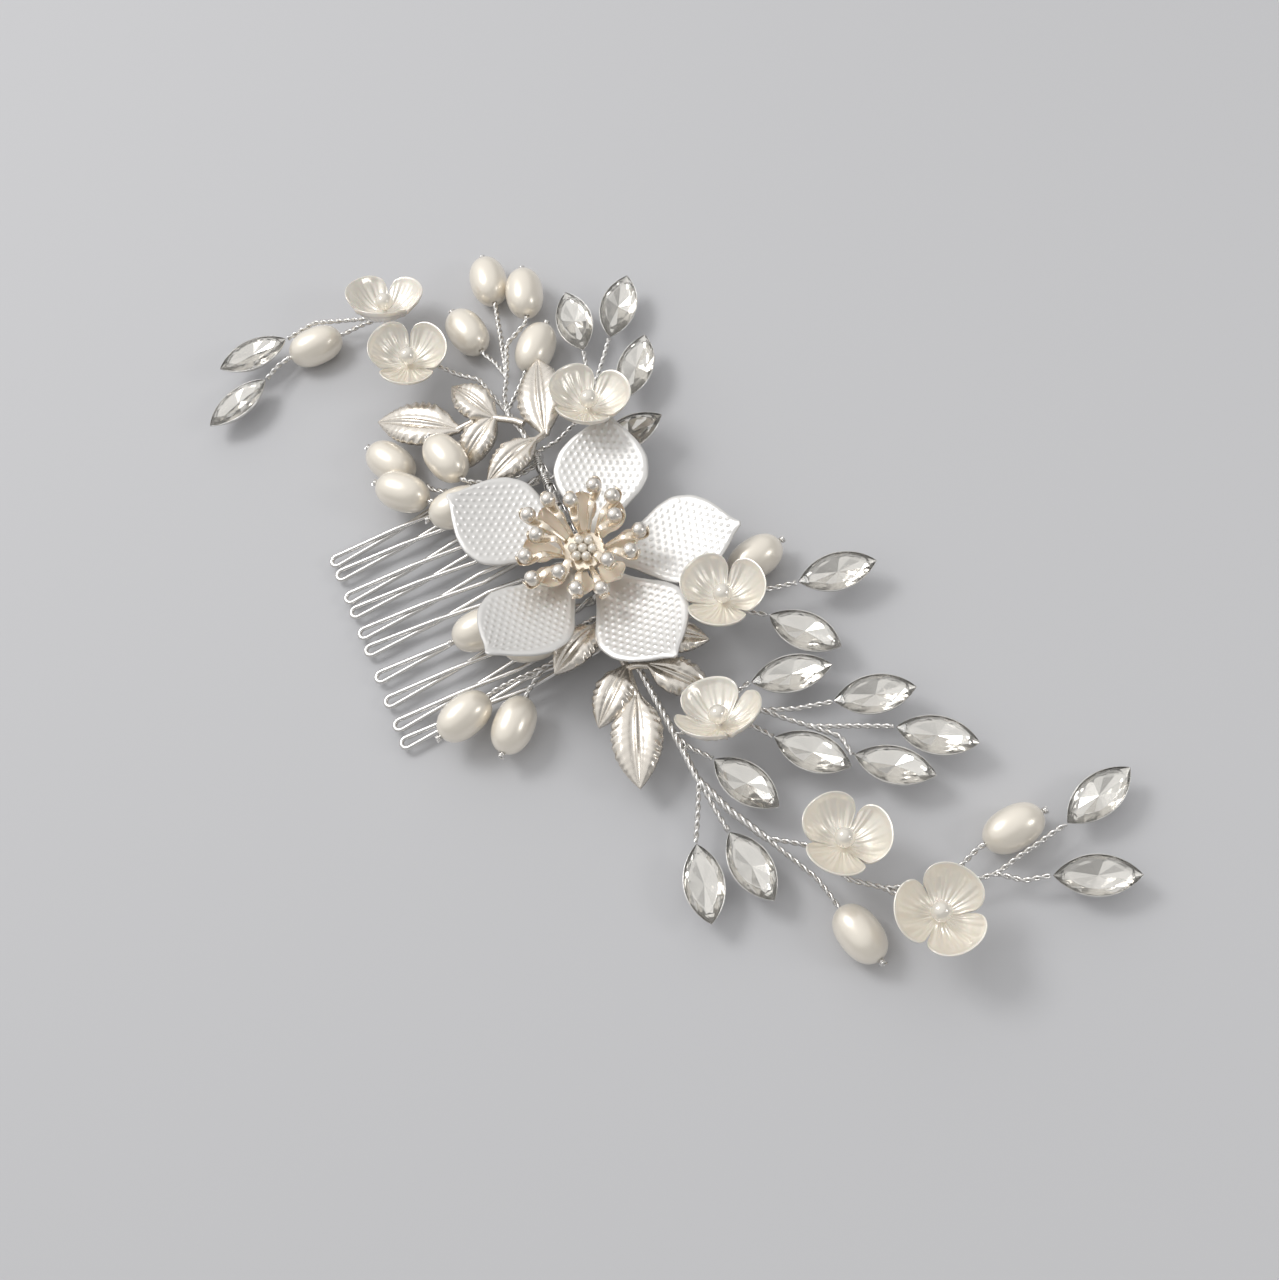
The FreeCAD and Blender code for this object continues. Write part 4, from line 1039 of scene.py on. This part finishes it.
PEARL_BORE_RADIUS = 0.4
# How deep the bore's mouth is, and the part of the outline's half turn that it takes at each end.
PEARL_MOUTH = 0.3
MOUTH_TURN = 0.03
# The powers that fill out a pearl's outline, and the share of its half length that they reach over.
PEARL_ALONG, PEARL_ACROSS = 2.3, 2.1
PEARL_SHARE = 0.994
PEARL_STEPS, PEARL_SIDES = 32, 40


def pearl_mesh():
    """A rice pearl along X about its middle, with its bore."""
    half = sizes().pearl_length / 2
    mouth = (half - PEARL_MOUTH * MM, PEARL_BORE_RADIUS * MM)
    outline = [(-mouth[0], mouth[1])]
    for i in range(PEARL_STEPS + 1):
        turn = math.pi * (MOUTH_TURN + (1 - 2 * MOUTH_TURN) * i / PEARL_STEPS)
        u = -math.cos(turn) / math.cos(math.pi * MOUTH_TURN)
        across = (1 - abs(u * PEARL_SHARE) ** PEARL_ALONG) ** (1 / PEARL_ACROSS)
        outline.append((u * half, sizes().pearl_diameter / 2 * across))
    outline += [mouth, outline[0]]
    turns = circle(PEARL_SIDES)
    return round_off(loops_mesh([[about_x(x, radius, turn) for turn in turns] for x, radius in outline]))


class HAIRCOMB_OT_pearls(bpy.types.Operator):
    """Makes the sixteen rice pearls, each on its own turning body"""

    bl_idname = "hair_comb.pearls"
    bl_label = "Pearls"

    def execute(self, context):
        form = pearl_mesh()
        for body, (centre, axis) in pearl_places().items():
            finished(f"rice_{body}", joined((form, [axes_matrix(centre, axis)])), body, PEARL, body=body)
        return {"FINISHED"}


# Stones

STONE_HALF_LENGTH = 7.5
STONE_HALF_WIDTH = 3.5
CROWN_HEIGHT = 1.0
# The outlines of a stone's crown, table and pavilion star, as shares of its girdle.
CROWN_SHARE, TABLE_SHARE, STAR_SHARE = 0.88, 0.74, 0.66
PAVILION_DEPTH = 1.8
PAVILION_POINT = 0.9
# How many facets lie along a side of a stone, and steps along a side of its cup.
FACETS, CUP_STEPS = 6, 20
# How deep the corners of the star in a stone's pavilion lie, in turn, as shares of its point's depth.
STAR_LEVELS = (0.36, 0.22, 0.42, 0.3, 0.2, 0.38)
CUP_WALL = 0.3
CUP_RIM = 0.25
CUP_GAP = 0.04
KEEL = -PAVILION_DEPTH - 0.05
# A cup's loops from under the stone out over its rim and back inside: each one's scale, level and margin.
CUP_LOOPS = (
    (0.5, KEEL - 0.35, CUP_WALL), (0.85, KEEL * 0.55, CUP_WALL), (1.0, -0.1, CUP_WALL),
    (1.0, CUP_RIM, CUP_WALL * 0.8), (1.0, CUP_RIM, CUP_GAP), (1.0, -0.05, CUP_GAP), (0.4, KEEL, CUP_GAP),
)
# The part of a cup's margin that is left at its tips, where it is folded close.
TIP_MARGIN = 0.02


def marquise_loop(scale, level, steps, margin=0.0, turn=0.0):
    """A marquise outline along X, a loop of points on two arcs, in metres."""
    arc = (STONE_HALF_LENGTH**2 + STONE_HALF_WIDTH**2) / (2 * STONE_HALF_WIDTH)
    half_angle = math.asin(STONE_HALF_LENGTH / arc)
    loop = []
    for side in (1, -1):
        for k in range(steps):
            a = half_angle * (1 - 2 * (k + turn) / steps)
            x = arc * math.sin(a) * side * (scale + TIP_MARGIN * margin / STONE_HALF_LENGTH)
            y = (arc * math.cos(a) - arc + STONE_HALF_WIDTH) * side * (scale + margin / STONE_HALF_WIDTH)
            loop.append(Vector((x, y, level)) * MM)
    return loop


def stone_mesh():
    """A marquise stone: a facetted crown of glass over a foiled pavilion that comes to a point."""
    girdle = marquise_loop(1.0, 0, FACETS)
    crown = marquise_loop(CROWN_SHARE, 0.5 * CROWN_HEIGHT, FACETS, turn=0.5)
    table = marquise_loop(TABLE_SHARE, CROWN_HEIGHT, FACETS)
    star = marquise_loop(STAR_SHARE, 0, FACETS, turn=0.5)
    for k, point in enumerate(star):
        point.z = -PAVILION_POINT * STAR_LEVELS[k % len(STAR_LEVELS)] * MM
    count = len(girdle)
    faces = []
    for here in range(count):
        there = (here + 1) % count
        (crown_a, crown_b), (table_a, table_b), (star_a, star_b) = (
            (ring * count + here, ring * count + there) for ring in (1, 2, 3)
        )
        faces += [(here, there, crown_a), (crown_a, there, crown_b)]
        faces += [(table_a, crown_a, table_b), (crown_a, crown_b, table_b)]
        faces += [(there, here, star_a), (there, star_a, star_b), (star_b, star_a, 4 * count)]
    faces.append(tuple(range(2 * count, 3 * count)))
    mesh = bpy.data.meshes.new("stone")
    points = girdle + crown + table + star + [UP * -PAVILION_POINT * MM]
    mesh.from_pydata([tuple(p) for p in points], [], faces)
    for face in mesh.polygons:
        face.material_index = int(any(k >= 3 * count for k in face.vertices))
    return round_off(mesh)


class HAIRCOMB_OT_stones(bpy.types.Operator):
    """Makes the eighteen marquise stones in their cups"""

    bl_idname = "hair_comb.stones"
    bl_label = "Stones"

    def execute(self, context):
        stone = stone_mesh()
        loops = [marquise_loop(scale, level, CUP_STEPS, margin) for scale, level, margin in CUP_LOOPS]
        cup = round_off(loops_mesh(loops))
        for spray in ("left_end", "left_top", "right_near", "right_middle", "right_end"):
            places = [stone_place(corners) for corners in cad_solids(f"{spray}_stones")]
            stones = joined((stone, places))
            finished(f"{spray}_crystals", stones, f"{spray}_stones", CRYSTAL, FOIL, smooth=False)
            finished(f"{spray}_settings", joined((cup, places)), f"{spray}_cups", WIRE)
        return {"FINISHED"}


# Vines

# How far a wire runs straight before a pearl or a flower, and how far off a pearl's ends it stops.
LEAD_IN = 1.2
PEARL_END_GAP = 0.1
CORE_WIRE = 0.7
KNOT_WIRE = 0.45
KNOT_LENGTH = 1.1
KNOT_TURNS = 2
# How far the knot's coil bites into its core, and the direction from which it starts.
KNOT_BITE = 0.1
KNOT_START = (0.1, 0.2, 1)
# The rope's lay in turn lengths, and how far the strands of ropes and twists wander.
ROPE_LAY = 1.5
ROPE_WANDER, TWIST_WANDER = 0.25, 0.3


def pearl_end(number, side, beyond=PEARL_END_GAP):
    """The point on a pearl's axis beyond its base (-1) or its tip (1), and the axis."""
    centre, axis = pearl_places()[f"pearl_{number:02d}"]
    return centre + axis * side * (sizes().pearl_length / 2 + beyond * MM), axis


def to_pearl(number, *route):
    """A wire's route to a pearl's base."""
    base, axis = pearl_end(number, -1)
    return [*route, base - axis * LEAD_IN * MM, base]


def to_flower(number, *route):
    """A wire's route that comes up square under a small flower."""
    place = flower_lie(number)
    return [*route, place @ (UP * -LEAD_IN * MM), place.translation]


def left_vine_routes():
    """The ropes and twists of the left vine, and the numbers of its pearls."""
    fork, upper, lower = left(9.6, -1.5, -0.4), left(18.0, 1.3, -0.9), left(20.0, -4.0, -0.6)
    second, first = left(30.5, -12.5, -1.2), left(44.5, -17.0, -1.4)
    high = left(1.6, 11.5, -0.4)
    low, lowest = middle(-19.4, -9.5, -0.6), middle(-21.2, -18.0, 0.0)
    ropes = [[middle(0, 0), left(0, 0), left(4.5, -0.4), fork]]
    twists = [
        [left(0, 0, 0.2), left(4.5, -0.4), fork, left(13.5, -0.6, -0.6), upper],
        to_pearl(2, upper, left(27.0, 3.4, -1.9)),
        to_pearl(3, upper, left(25.5, 4.2, -1.2)),
        to_pearl(4, upper, left(23.0, 0.4, -1.8)),
        to_pearl(5, fork, left(12.5, 0.9, -1.0), left(15.5, 3.4, -1.8)),
        [fork, left(15.5, -2.8, -0.5), lower, left(24.0, -7.8, -0.9), second, left(38.0, -16.3, -1.6), first],
        to_flower(2, second),
        to_flower(1, first),
        to_pearl(1, first, left(45.7, -22.0, -2.2)),
        [first, left(48.6, -24.5, -2.0), left(51.2, -30.5, -2.0), left(50.0, -36.9, -1.6)],
        [pearl_end(1, 1)[0], left(45.2, -40.5, -2.3), left(43.0, -44.0, -2.0)],
        [left(-2.0, 0), left(-1.6, 5.5, 0.2), high],
        to_flower(3, high),
        [high, left(8.0, 15.8, -0.8), left(15.9, 17.7, -1.0)],
        [high, left(9.5, 18.4, -0.6), left(16.4, 23.4, -1.2)],
        [high, left(1.0, 18.5, -0.7), left(1.3, 20.9, -0.9)],
        [middle(-14.7, 0), middle(-15.6, 5.5, 0.0), middle(-16.3, 10.5)],
        [middle(-19.0, 0), middle(-19.0, -3.5, -0.7), low, middle(-21.0, -13.0, -0.4), lowest],
        to_pearl(9, low),
        to_pearl(7, low),
        to_pearl(8, lowest),
        to_pearl(6, lowest, middle(-24.0, -21.0, -1.2)),
    ]
    return ropes, twists, range(1, 10)


def right_vine_routes():
    """The same of the right vine."""
    bend, fork, far = right(22.0, 2.0, -0.2), right(31.9, 2.4, -0.4), right(46.7, 8.9, -0.9)
    sixth, beside, last = right(51.7, 15.8, -1.3), right(63.6, 23.8, -1.7), right(66.6, 30.7, -1.9)
    top = right(69.6, 42.1, -1.9)
    fifth, inner, high = right(23.2, 10.5, -0.9), right(24.2, 18.2, -0.9), right(31.0, 24.6, -0.9)
    fourth = right(0.8, 17.5, -0.7)
    low, lowest = middle(21.2, -9.5, -0.7), middle(21.9, -15.0, -0.9)
    ropes = [[middle(0.3, 0), right(0, 0), right(4.1, 1.0), bend, fork, right(39.8, 5.4, -0.6), far]]
    twists = [
        [fork, right(36.5, 2.8, -0.8), right(42.6, 3.5, -1.2)],
        [fork, right(36.8, 0.2, -0.8), right(42.1, -2.5, -1.2)],
        [far, sixth, right(59.6, 18.8, -1.5), beside, last, right(68.8, 37.5, -1.9), top],
        to_flower(6, sixth),
        to_pearl(16, far, right(56.7, 13.9, -1.8)),
        to_pearl(15, last, right(65.9, 36.7, -2.3)),
        to_flower(7, beside, right(67.5, 26.5, -1.5)),
        [top, right(68.6, 46.5, -1.9), right(66.8, 56.7, -1.8)],
        [top, right(72.6, 45.8, -1.9), right(73.8, 50.2, -1.8)],
        [bend, fifth, inner, high],
        to_flower(5, fifth),
        [fifth, right(19.2, 15.5, -0.6), right(18.6, 18.3, -0.4)],
        [inner, right(27.2, 24.5, -0.6), right(28.6, 30.2, -0.4)],
        [high, right(34.4, 31.7, -0.8), right(37.8, 38.1, -0.8)],
        [high, right(35.2, 28.9, -0.9), right(39.3, 29.2, -0.8)],
        [fifth, right(26.5, 15.6, -0.7), right(30.1, 17.8, -0.4)],
        [bend, right(25.6, 3.6, -0.4), right(29.1, 6.4, -0.4)],
        [right(2.2, 0.5), right(2.0, 8.5, -0.3), fourth],
        to_flower(4, fourth),
        to_pearl(14, fourth, right(-2.5, 20.9, -1.6)),
        [fourth, right(2.6, 28.9, -0.6), right(3.9, 34.4, -0.6)],
        [fourth, right(7.4, 26.9, -0.6)],
        [middle(20.5, 0), middle(20.5, -4.0, -0.8), low, lowest],
        to_pearl(13, lowest),
        to_pearl(12, lowest, middle(22.2, -20.5, 0.0)),
        to_pearl(11, middle(16.6, 0), middle(17.4, -4.0, 0.2)),
        to_pearl(10, middle(11.3, 0), middle(11.0, -7.0, 0.2)),
    ]
    return ropes, twists, range(10, 17)


def core_route(number):
    """The wire through a pearl's bore, from the twist at its base to the knot at its tip."""
    base, axis = pearl_end(number, -1)
    tip, _ = pearl_end(number, 1)
    return [base - axis * LEAD_IN / 2 * MM, tip + axis * KNOT_LENGTH / 2 * MM]


def knot_route(number):
    """The coil at a pearl's tip that keeps it on its wire."""
    tip, axis = pearl_end(number, 1, PEARL_END_GAP + KNOT_WIRE / 2)
    place = axes_matrix(tip, axis, Vector(KNOT_START))
    radius = CORE_WIRE / 2 + KNOT_WIRE / 2 - KNOT_BITE
    return [place @ (point * MM) for point in coil(0, KNOT_LENGTH - KNOT_WIRE, KNOT_TURNS, radius)]


class HAIRCOMB_OT_vines(bpy.types.Operator):
    """Makes the left and right vines: ropes, twisted branches and knots"""

    bl_idname = "hair_comb.vines"
    bl_label = "Vines"

    def execute(self, context):
        s = sizes()
        for name, routes in (("left_vine", left_vine_routes), ("right_vine", right_vine_routes)):
            ropes, twists, pearls = routes()
            meshes = [
                laid_wire(ropes, 3, s.rope_diameter, turn=ROPE_LAY * s.turn_length, wander=ROPE_WANDER),
                laid_wire(twists, 2, s.twist_diameter, wander=TWIST_WANDER),
                laid_wire([core_route(number) for number in pearls], 1, CORE_WIRE * MM),
                laid_wire([knot_route(number) for number in pearls], 1, KNOT_WIRE * MM, bend=0.5, step=0.15),
            ]
            finished(f"{name}_wires", joined(*((mesh, [Matrix()]) for mesh in meshes)), name, WIRE)
        return {"FINISHED"}


# Leaf sprigs

STEM_DIAMETER = 1.4
LARGE_LEAF_WIDTH = 9.6
SMALL_LEAF_WIDTH = 7.2
LEAF_THICKNESS = 0.7
LEAF_ARCH = 1.2
LEAF_BULGE = 0.9
LEAF_ROWS = 96
LEAF_COLUMNS = 48
# A leaf's half width at shares of its length, and the rise of its section at shares of its half width.
LEAF_OUTLINE = (
    (0.0, 0.12), (0.06, 0.24), (0.16, 0.56), (0.3, 0.89), (0.45, 1.0), (0.62, 0.93), (0.78, 0.69),
    (0.9, 0.38), (1.0, 0.03),
)
LEAF_SECTION = (
    (0.0, 1.02), (0.04, 0.95), (0.09, 0.58), (0.15, 0.52), (0.36, 0.92), (0.58, 1.0), (0.82, 0.6),
    (1.0, -0.1),
)
# The side veins: how far apart they are, how they sweep to the tip, and how they waver along each half.
VEIN_PITCH = 1.7
VEIN_SWEEP = 0.6
VEIN_WAVER = 0.22
WAVER_RATE, WAVER_START = 0.9, 1.3
# How deep the wrinkles between a leaf's side veins are in the middle and at the edge, where the edge starts
# as a share of the half width and the power by which it grows, the edge's teeth, and the midrib's share with
# how fast the wrinkles come in beyond it.
WRINKLES = (0.015, 0.15)
EDGE_START, EDGE_CURVE = 0.55, 1.5
TOOTH = 0.03
MIDRIB, WRINKLE_RATE = 0.1, 8


def leaf_mesh(long, wide):
    """A cast leaf along +X from its base: two bulged halves, a raised midrib, side veins, toothed edges."""
    loops = []
    for i in range(LEAF_ROWS + 1):
        share = i / LEAF_ROWS
        x = share * long / MM
        across = eased(LEAF_OUTLINE, share)
        row = []
        for j in range(LEAF_COLUMNS + 1):
            v = 2 * j / LEAF_COLUMNS - 1
            vein = (x - VEIN_SWEEP * abs(v) * across * wide / 2) / VEIN_PITCH
            vein += VEIN_WAVER * math.sin(WAVER_RATE * x + math.copysign(WAVER_START, v))
            wave = math.cos(2 * math.pi * vein)
            edge = clamped((abs(v) - EDGE_START) / (1 - EDGE_START)) ** EDGE_CURVE
            wrinkle = WRINKLES[0] + (WRINKLES[1] - WRINKLES[0]) * edge
            wrinkle *= clamped(WRINKLE_RATE * (abs(v) - MIDRIB))
            lift = (LEAF_BULGE * eased(LEAF_SECTION, abs(v)) + wrinkle * wave) * across
            y = wide / 2 * across * v * (1 + TOOTH * across * wave * edge)
            row.append(Vector((x, y, LEAF_ARCH * math.sin(math.pi * share) + lift)) * MM)
        loops.append(row + [point - UP * LEAF_THICKNESS * MM for point in reversed(row)])
    return round_off(loops_mesh(loops))


def leaf_at(base, heading, climb=0.0, roll=0.0):
    """The matrix of a leaf whose base sits on its stem at a point."""
    foot = base + UP * LEAF_THICKNESS / 2 * MM - bearing(heading, climb) * STEM_DIAMETER / 2 * MM
    return aim(foot, heading, climb, roll)


def make_sprig(name, stems, large, small):
    """Makes a sprig from its stems' routes and its leaves' places."""
    stalk = laid_wire(stems, 1, STEM_DIAMETER * MM, bend=3, sides=12)
    large_leaf = leaf_mesh(sizes().large_leaf, LARGE_LEAF_WIDTH)
    small_leaf = leaf_mesh(sizes().small_leaf, SMALL_LEAF_WIDTH)
    sprig = joined((stalk, [Matrix()]), (large_leaf, large), (small_leaf, small))
    finished(f"{name}_casting", sprig, name, CASTING)


class HAIRCOMB_OT_leaves(bpy.types.Operator):
    """Makes the four cast leaf sprigs"""

    bl_idname = "hair_comb.leaves"
    bl_label = "Leaf sprigs"

    def execute(self, context):
        # How far a stem that crosses over a rope, or runs beside it, lies from its axis.
        over = (sizes().rope_diameter / 2 + STEM_DIAMETER / 2 * MM) / MM + CLEARANCE
        fork, end = left(9.0, -4.3, 0.8), left(10.6, -12.0, 0.0)
        stems = [[left(4.3, 0.5, over + 0.2), left(5.9, -0.8, over + 0.1), fork, left(10.6, -8.0, 0.4), end]]
        small = [leaf_at(fork, 205, -3), leaf_at(fork, 299, -17)]
        make_sprig("left_leaf_sprig", stems, [leaf_at(end, 233, -6)], small)
        high, low = left(0.9, 3.6, 0.7), left(-0.4, 1.0, over + 0.2)
        stems = [[high, left(0.2, 2.5, 1.2), low]]
        make_sprig("left_upper_leaf_sprig", stems, [leaf_at(high, 164, -2, -10)], [leaf_at(low, 289, -4)])
        bend, end, crossing = right(6.0, 0.6 - over, 0.2), right(12.0, -1.4, 0.2), right(8.2, 3.2, over)
        stems = [[right(2.0, 0.4 - over), bend, end], [bend, right(7.0, 1.2, over + 0.2), crossing]]
        small = [leaf_at(bend, 312, -4), leaf_at(crossing, 44, -14)]
        make_sprig("right_leaf_sprig", stems, [leaf_at(end, 339, -3)], small)
        low, high = middle(19.6, -3.0, 1.1), middle(25.4, 4.2, 1.2)
        stems = [[low, middle(20.6, 0, over + 0.1), middle(22.0, 1.6, over), high]]
        make_sprig("right_inner_leaf_sprig", stems, [], [leaf_at(low, 302, 10), leaf_at(high, 60)])
        return {"FINISHED"}


# Stage

CAMERA_PLACE = (181.7, -3.6, 319.3)
CAMERA_FORWARD = (-0.44265, 0.01974, -0.89648)
CAMERA_UP = (-0.81375, 0.41111, 0.41085)
LENS = 53.44
# The camera's sensor and the nearest that it sees, and how far the floor reaches, in metres.
SENSOR = 36
NEAREST = 0.01
FLOOR_REACH = 4.0
# Each lamp's place and size, and its power in watts; each aims at the middle of the comb.
LAMPS = (((-330, -230, 560), 260, 1.45), ((300, 420, 330), 140, 0.35))
# Where the studio's large soft box lies, how bright the studio is at shares of the way from its back to the
# box, and the strength of it all.
SOFT_BOX = (-0.52, -0.2, 0.83)
SURROUNDINGS = ((0.0, 0.4), (0.45, 0.55), (0.6, 0.38), (0.68, 0.5), (0.8, 1.0), (1.0, 1.25))
SKY_STRENGTH = 0.76


def dark_and_light():
    """A studio's surroundings: a large soft box to one side, in a darker band for metal to mirror."""
    world = bpy.data.worlds.new("Studio")
    world.use_nodes = True
    tree = world.node_tree
    tree.nodes.clear()
    way = add(tree, "ShaderNodeTexCoord").outputs["Generated"]
    towards = vector_node(tree, "DOT_PRODUCT", way, Vector(SOFT_BOX).normalized()).outputs["Value"]
    ramp = add(tree, "ShaderNodeValToRGB", {0: math_node(tree, "MULTIPLY_ADD", towards, 0.5, 0.5)})
    stops = ramp.color_ramp.elements
    for stop, (position, level) in zip(stops, (SURROUNDINGS[0], SURROUNDINGS[-1])):
        stop.position, stop.color = position, (level, level, level, 1)
    for position, level in SURROUNDINGS[1:-1]:
        stops.new(position).color = (level, level, level, 1)
    sky = add(tree, "ShaderNodeBackground", {"Color": ramp, "Strength": SKY_STRENGTH})
    add(tree, "ShaderNodeOutputWorld", {"Surface": sky})
    return world


def aimed(name, data, place, forward, up):
    """A lamp or camera at a place in millimetres, looking along a direction."""
    back = -Vector(forward)
    target = bpy.data.objects.new(name, data)
    target.matrix_world = axes_matrix(Vector(place) * MM, Vector(up).cross(back), back)
    bpy.context.scene.collection.objects.link(target)
    return target


class HAIRCOMB_OT_stage(bpy.types.Operator):
    """Sets the plain floor, the soft lamps and the camera"""

    bl_idname = "hair_comb.stage"
    bl_label = "Stage"

    def execute(self, context):
        scene = context.scene
        scene.world = dark_and_light()
        scene.view_settings.view_transform = "Standard"
        mesh = bpy.data.meshes.new("floor")
        corners = ((-1, -1), (1, -1), (1, 1), (-1, 1))
        points = [(x * FLOOR_REACH, y * FLOOR_REACH, TABLE_LEVEL) for x, y in corners]
        mesh.from_pydata(points, [], [(0, 1, 2, 3)])
        mesh.materials.append(finish(FLOOR))
        floor = bpy.data.objects.new("floor", mesh)
        scene.collection.objects.link(floor)
        for number, (place, width, power) in enumerate(LAMPS, start=1):
            lamp = bpy.data.lights.new(f"lamp_{number}", "AREA")
            lamp.size = width * MM
            lamp.energy = power
            aimed(f"lamp_{number}", lamp, place, -Vector(place), UP)
        camera = bpy.data.cameras.new("camera")
        camera.lens = LENS
        camera.sensor_width = camera.sensor_height = SENSOR
        camera.clip_start = NEAREST
        scene.camera = aimed("camera", camera, CAMERA_PLACE, CAMERA_FORWARD, CAMERA_UP)
        return {"FINISHED"}


# Add-on

OPERATORS = (
    HAIRCOMB_OT_comb,
    HAIRCOMB_OT_petals,
    HAIRCOMB_OT_centre,
    HAIRCOMB_OT_small_flowers,
    HAIRCOMB_OT_pearls,
    HAIRCOMB_OT_stones,
    HAIRCOMB_OT_vines,
    HAIRCOMB_OT_leaves,
    HAIRCOMB_OT_stage,
)


class HAIRCOMB_PT_panel(bpy.types.Panel):
    """The hair comb's sizes, colours and pieces"""

    bl_label = "Hair comb"
    bl_idname = "HAIRCOMB_PT_panel"
    bl_space_type = "VIEW_3D"
    bl_region_type = "UI"
    bl_category = "Hair comb"

    def draw(self, context):
        for title, group in (("Sizes", context.scene.comb_sizes), ("Colours", context.scene.comb_colours)):
            box = self.layout.box()
            box.label(text=title)
            for name in type(group).__annotations__:
                box.prop(group, name)
        column = self.layout.column(align=True)
        for operator in OPERATORS:
            column.operator(operator.bl_idname)


CLASSES = (CombSizes, CombColours, *OPERATORS, HAIRCOMB_PT_panel)


def register():
    """Adds the classes and the scene's properties."""
    for cls in CLASSES:
        bpy.utils.register_class(cls)
    bpy.types.Scene.comb_sizes = bpy.props.PointerProperty(type=CombSizes)
    bpy.types.Scene.comb_colours = bpy.props.PointerProperty(type=CombColours)


def unregister():
    """Takes them away again."""
    del bpy.types.Scene.comb_sizes
    del bpy.types.Scene.comb_colours
    for cls in reversed(CLASSES):
        bpy.utils.unregister_class(cls)


def main():
    """Makes every piece."""
    register()
    for operator in OPERATORS:
        getattr(bpy.ops.hair_comb, operator.bl_idname.removeprefix("hair_comb."))()


if __name__ == "__main__":
    main()
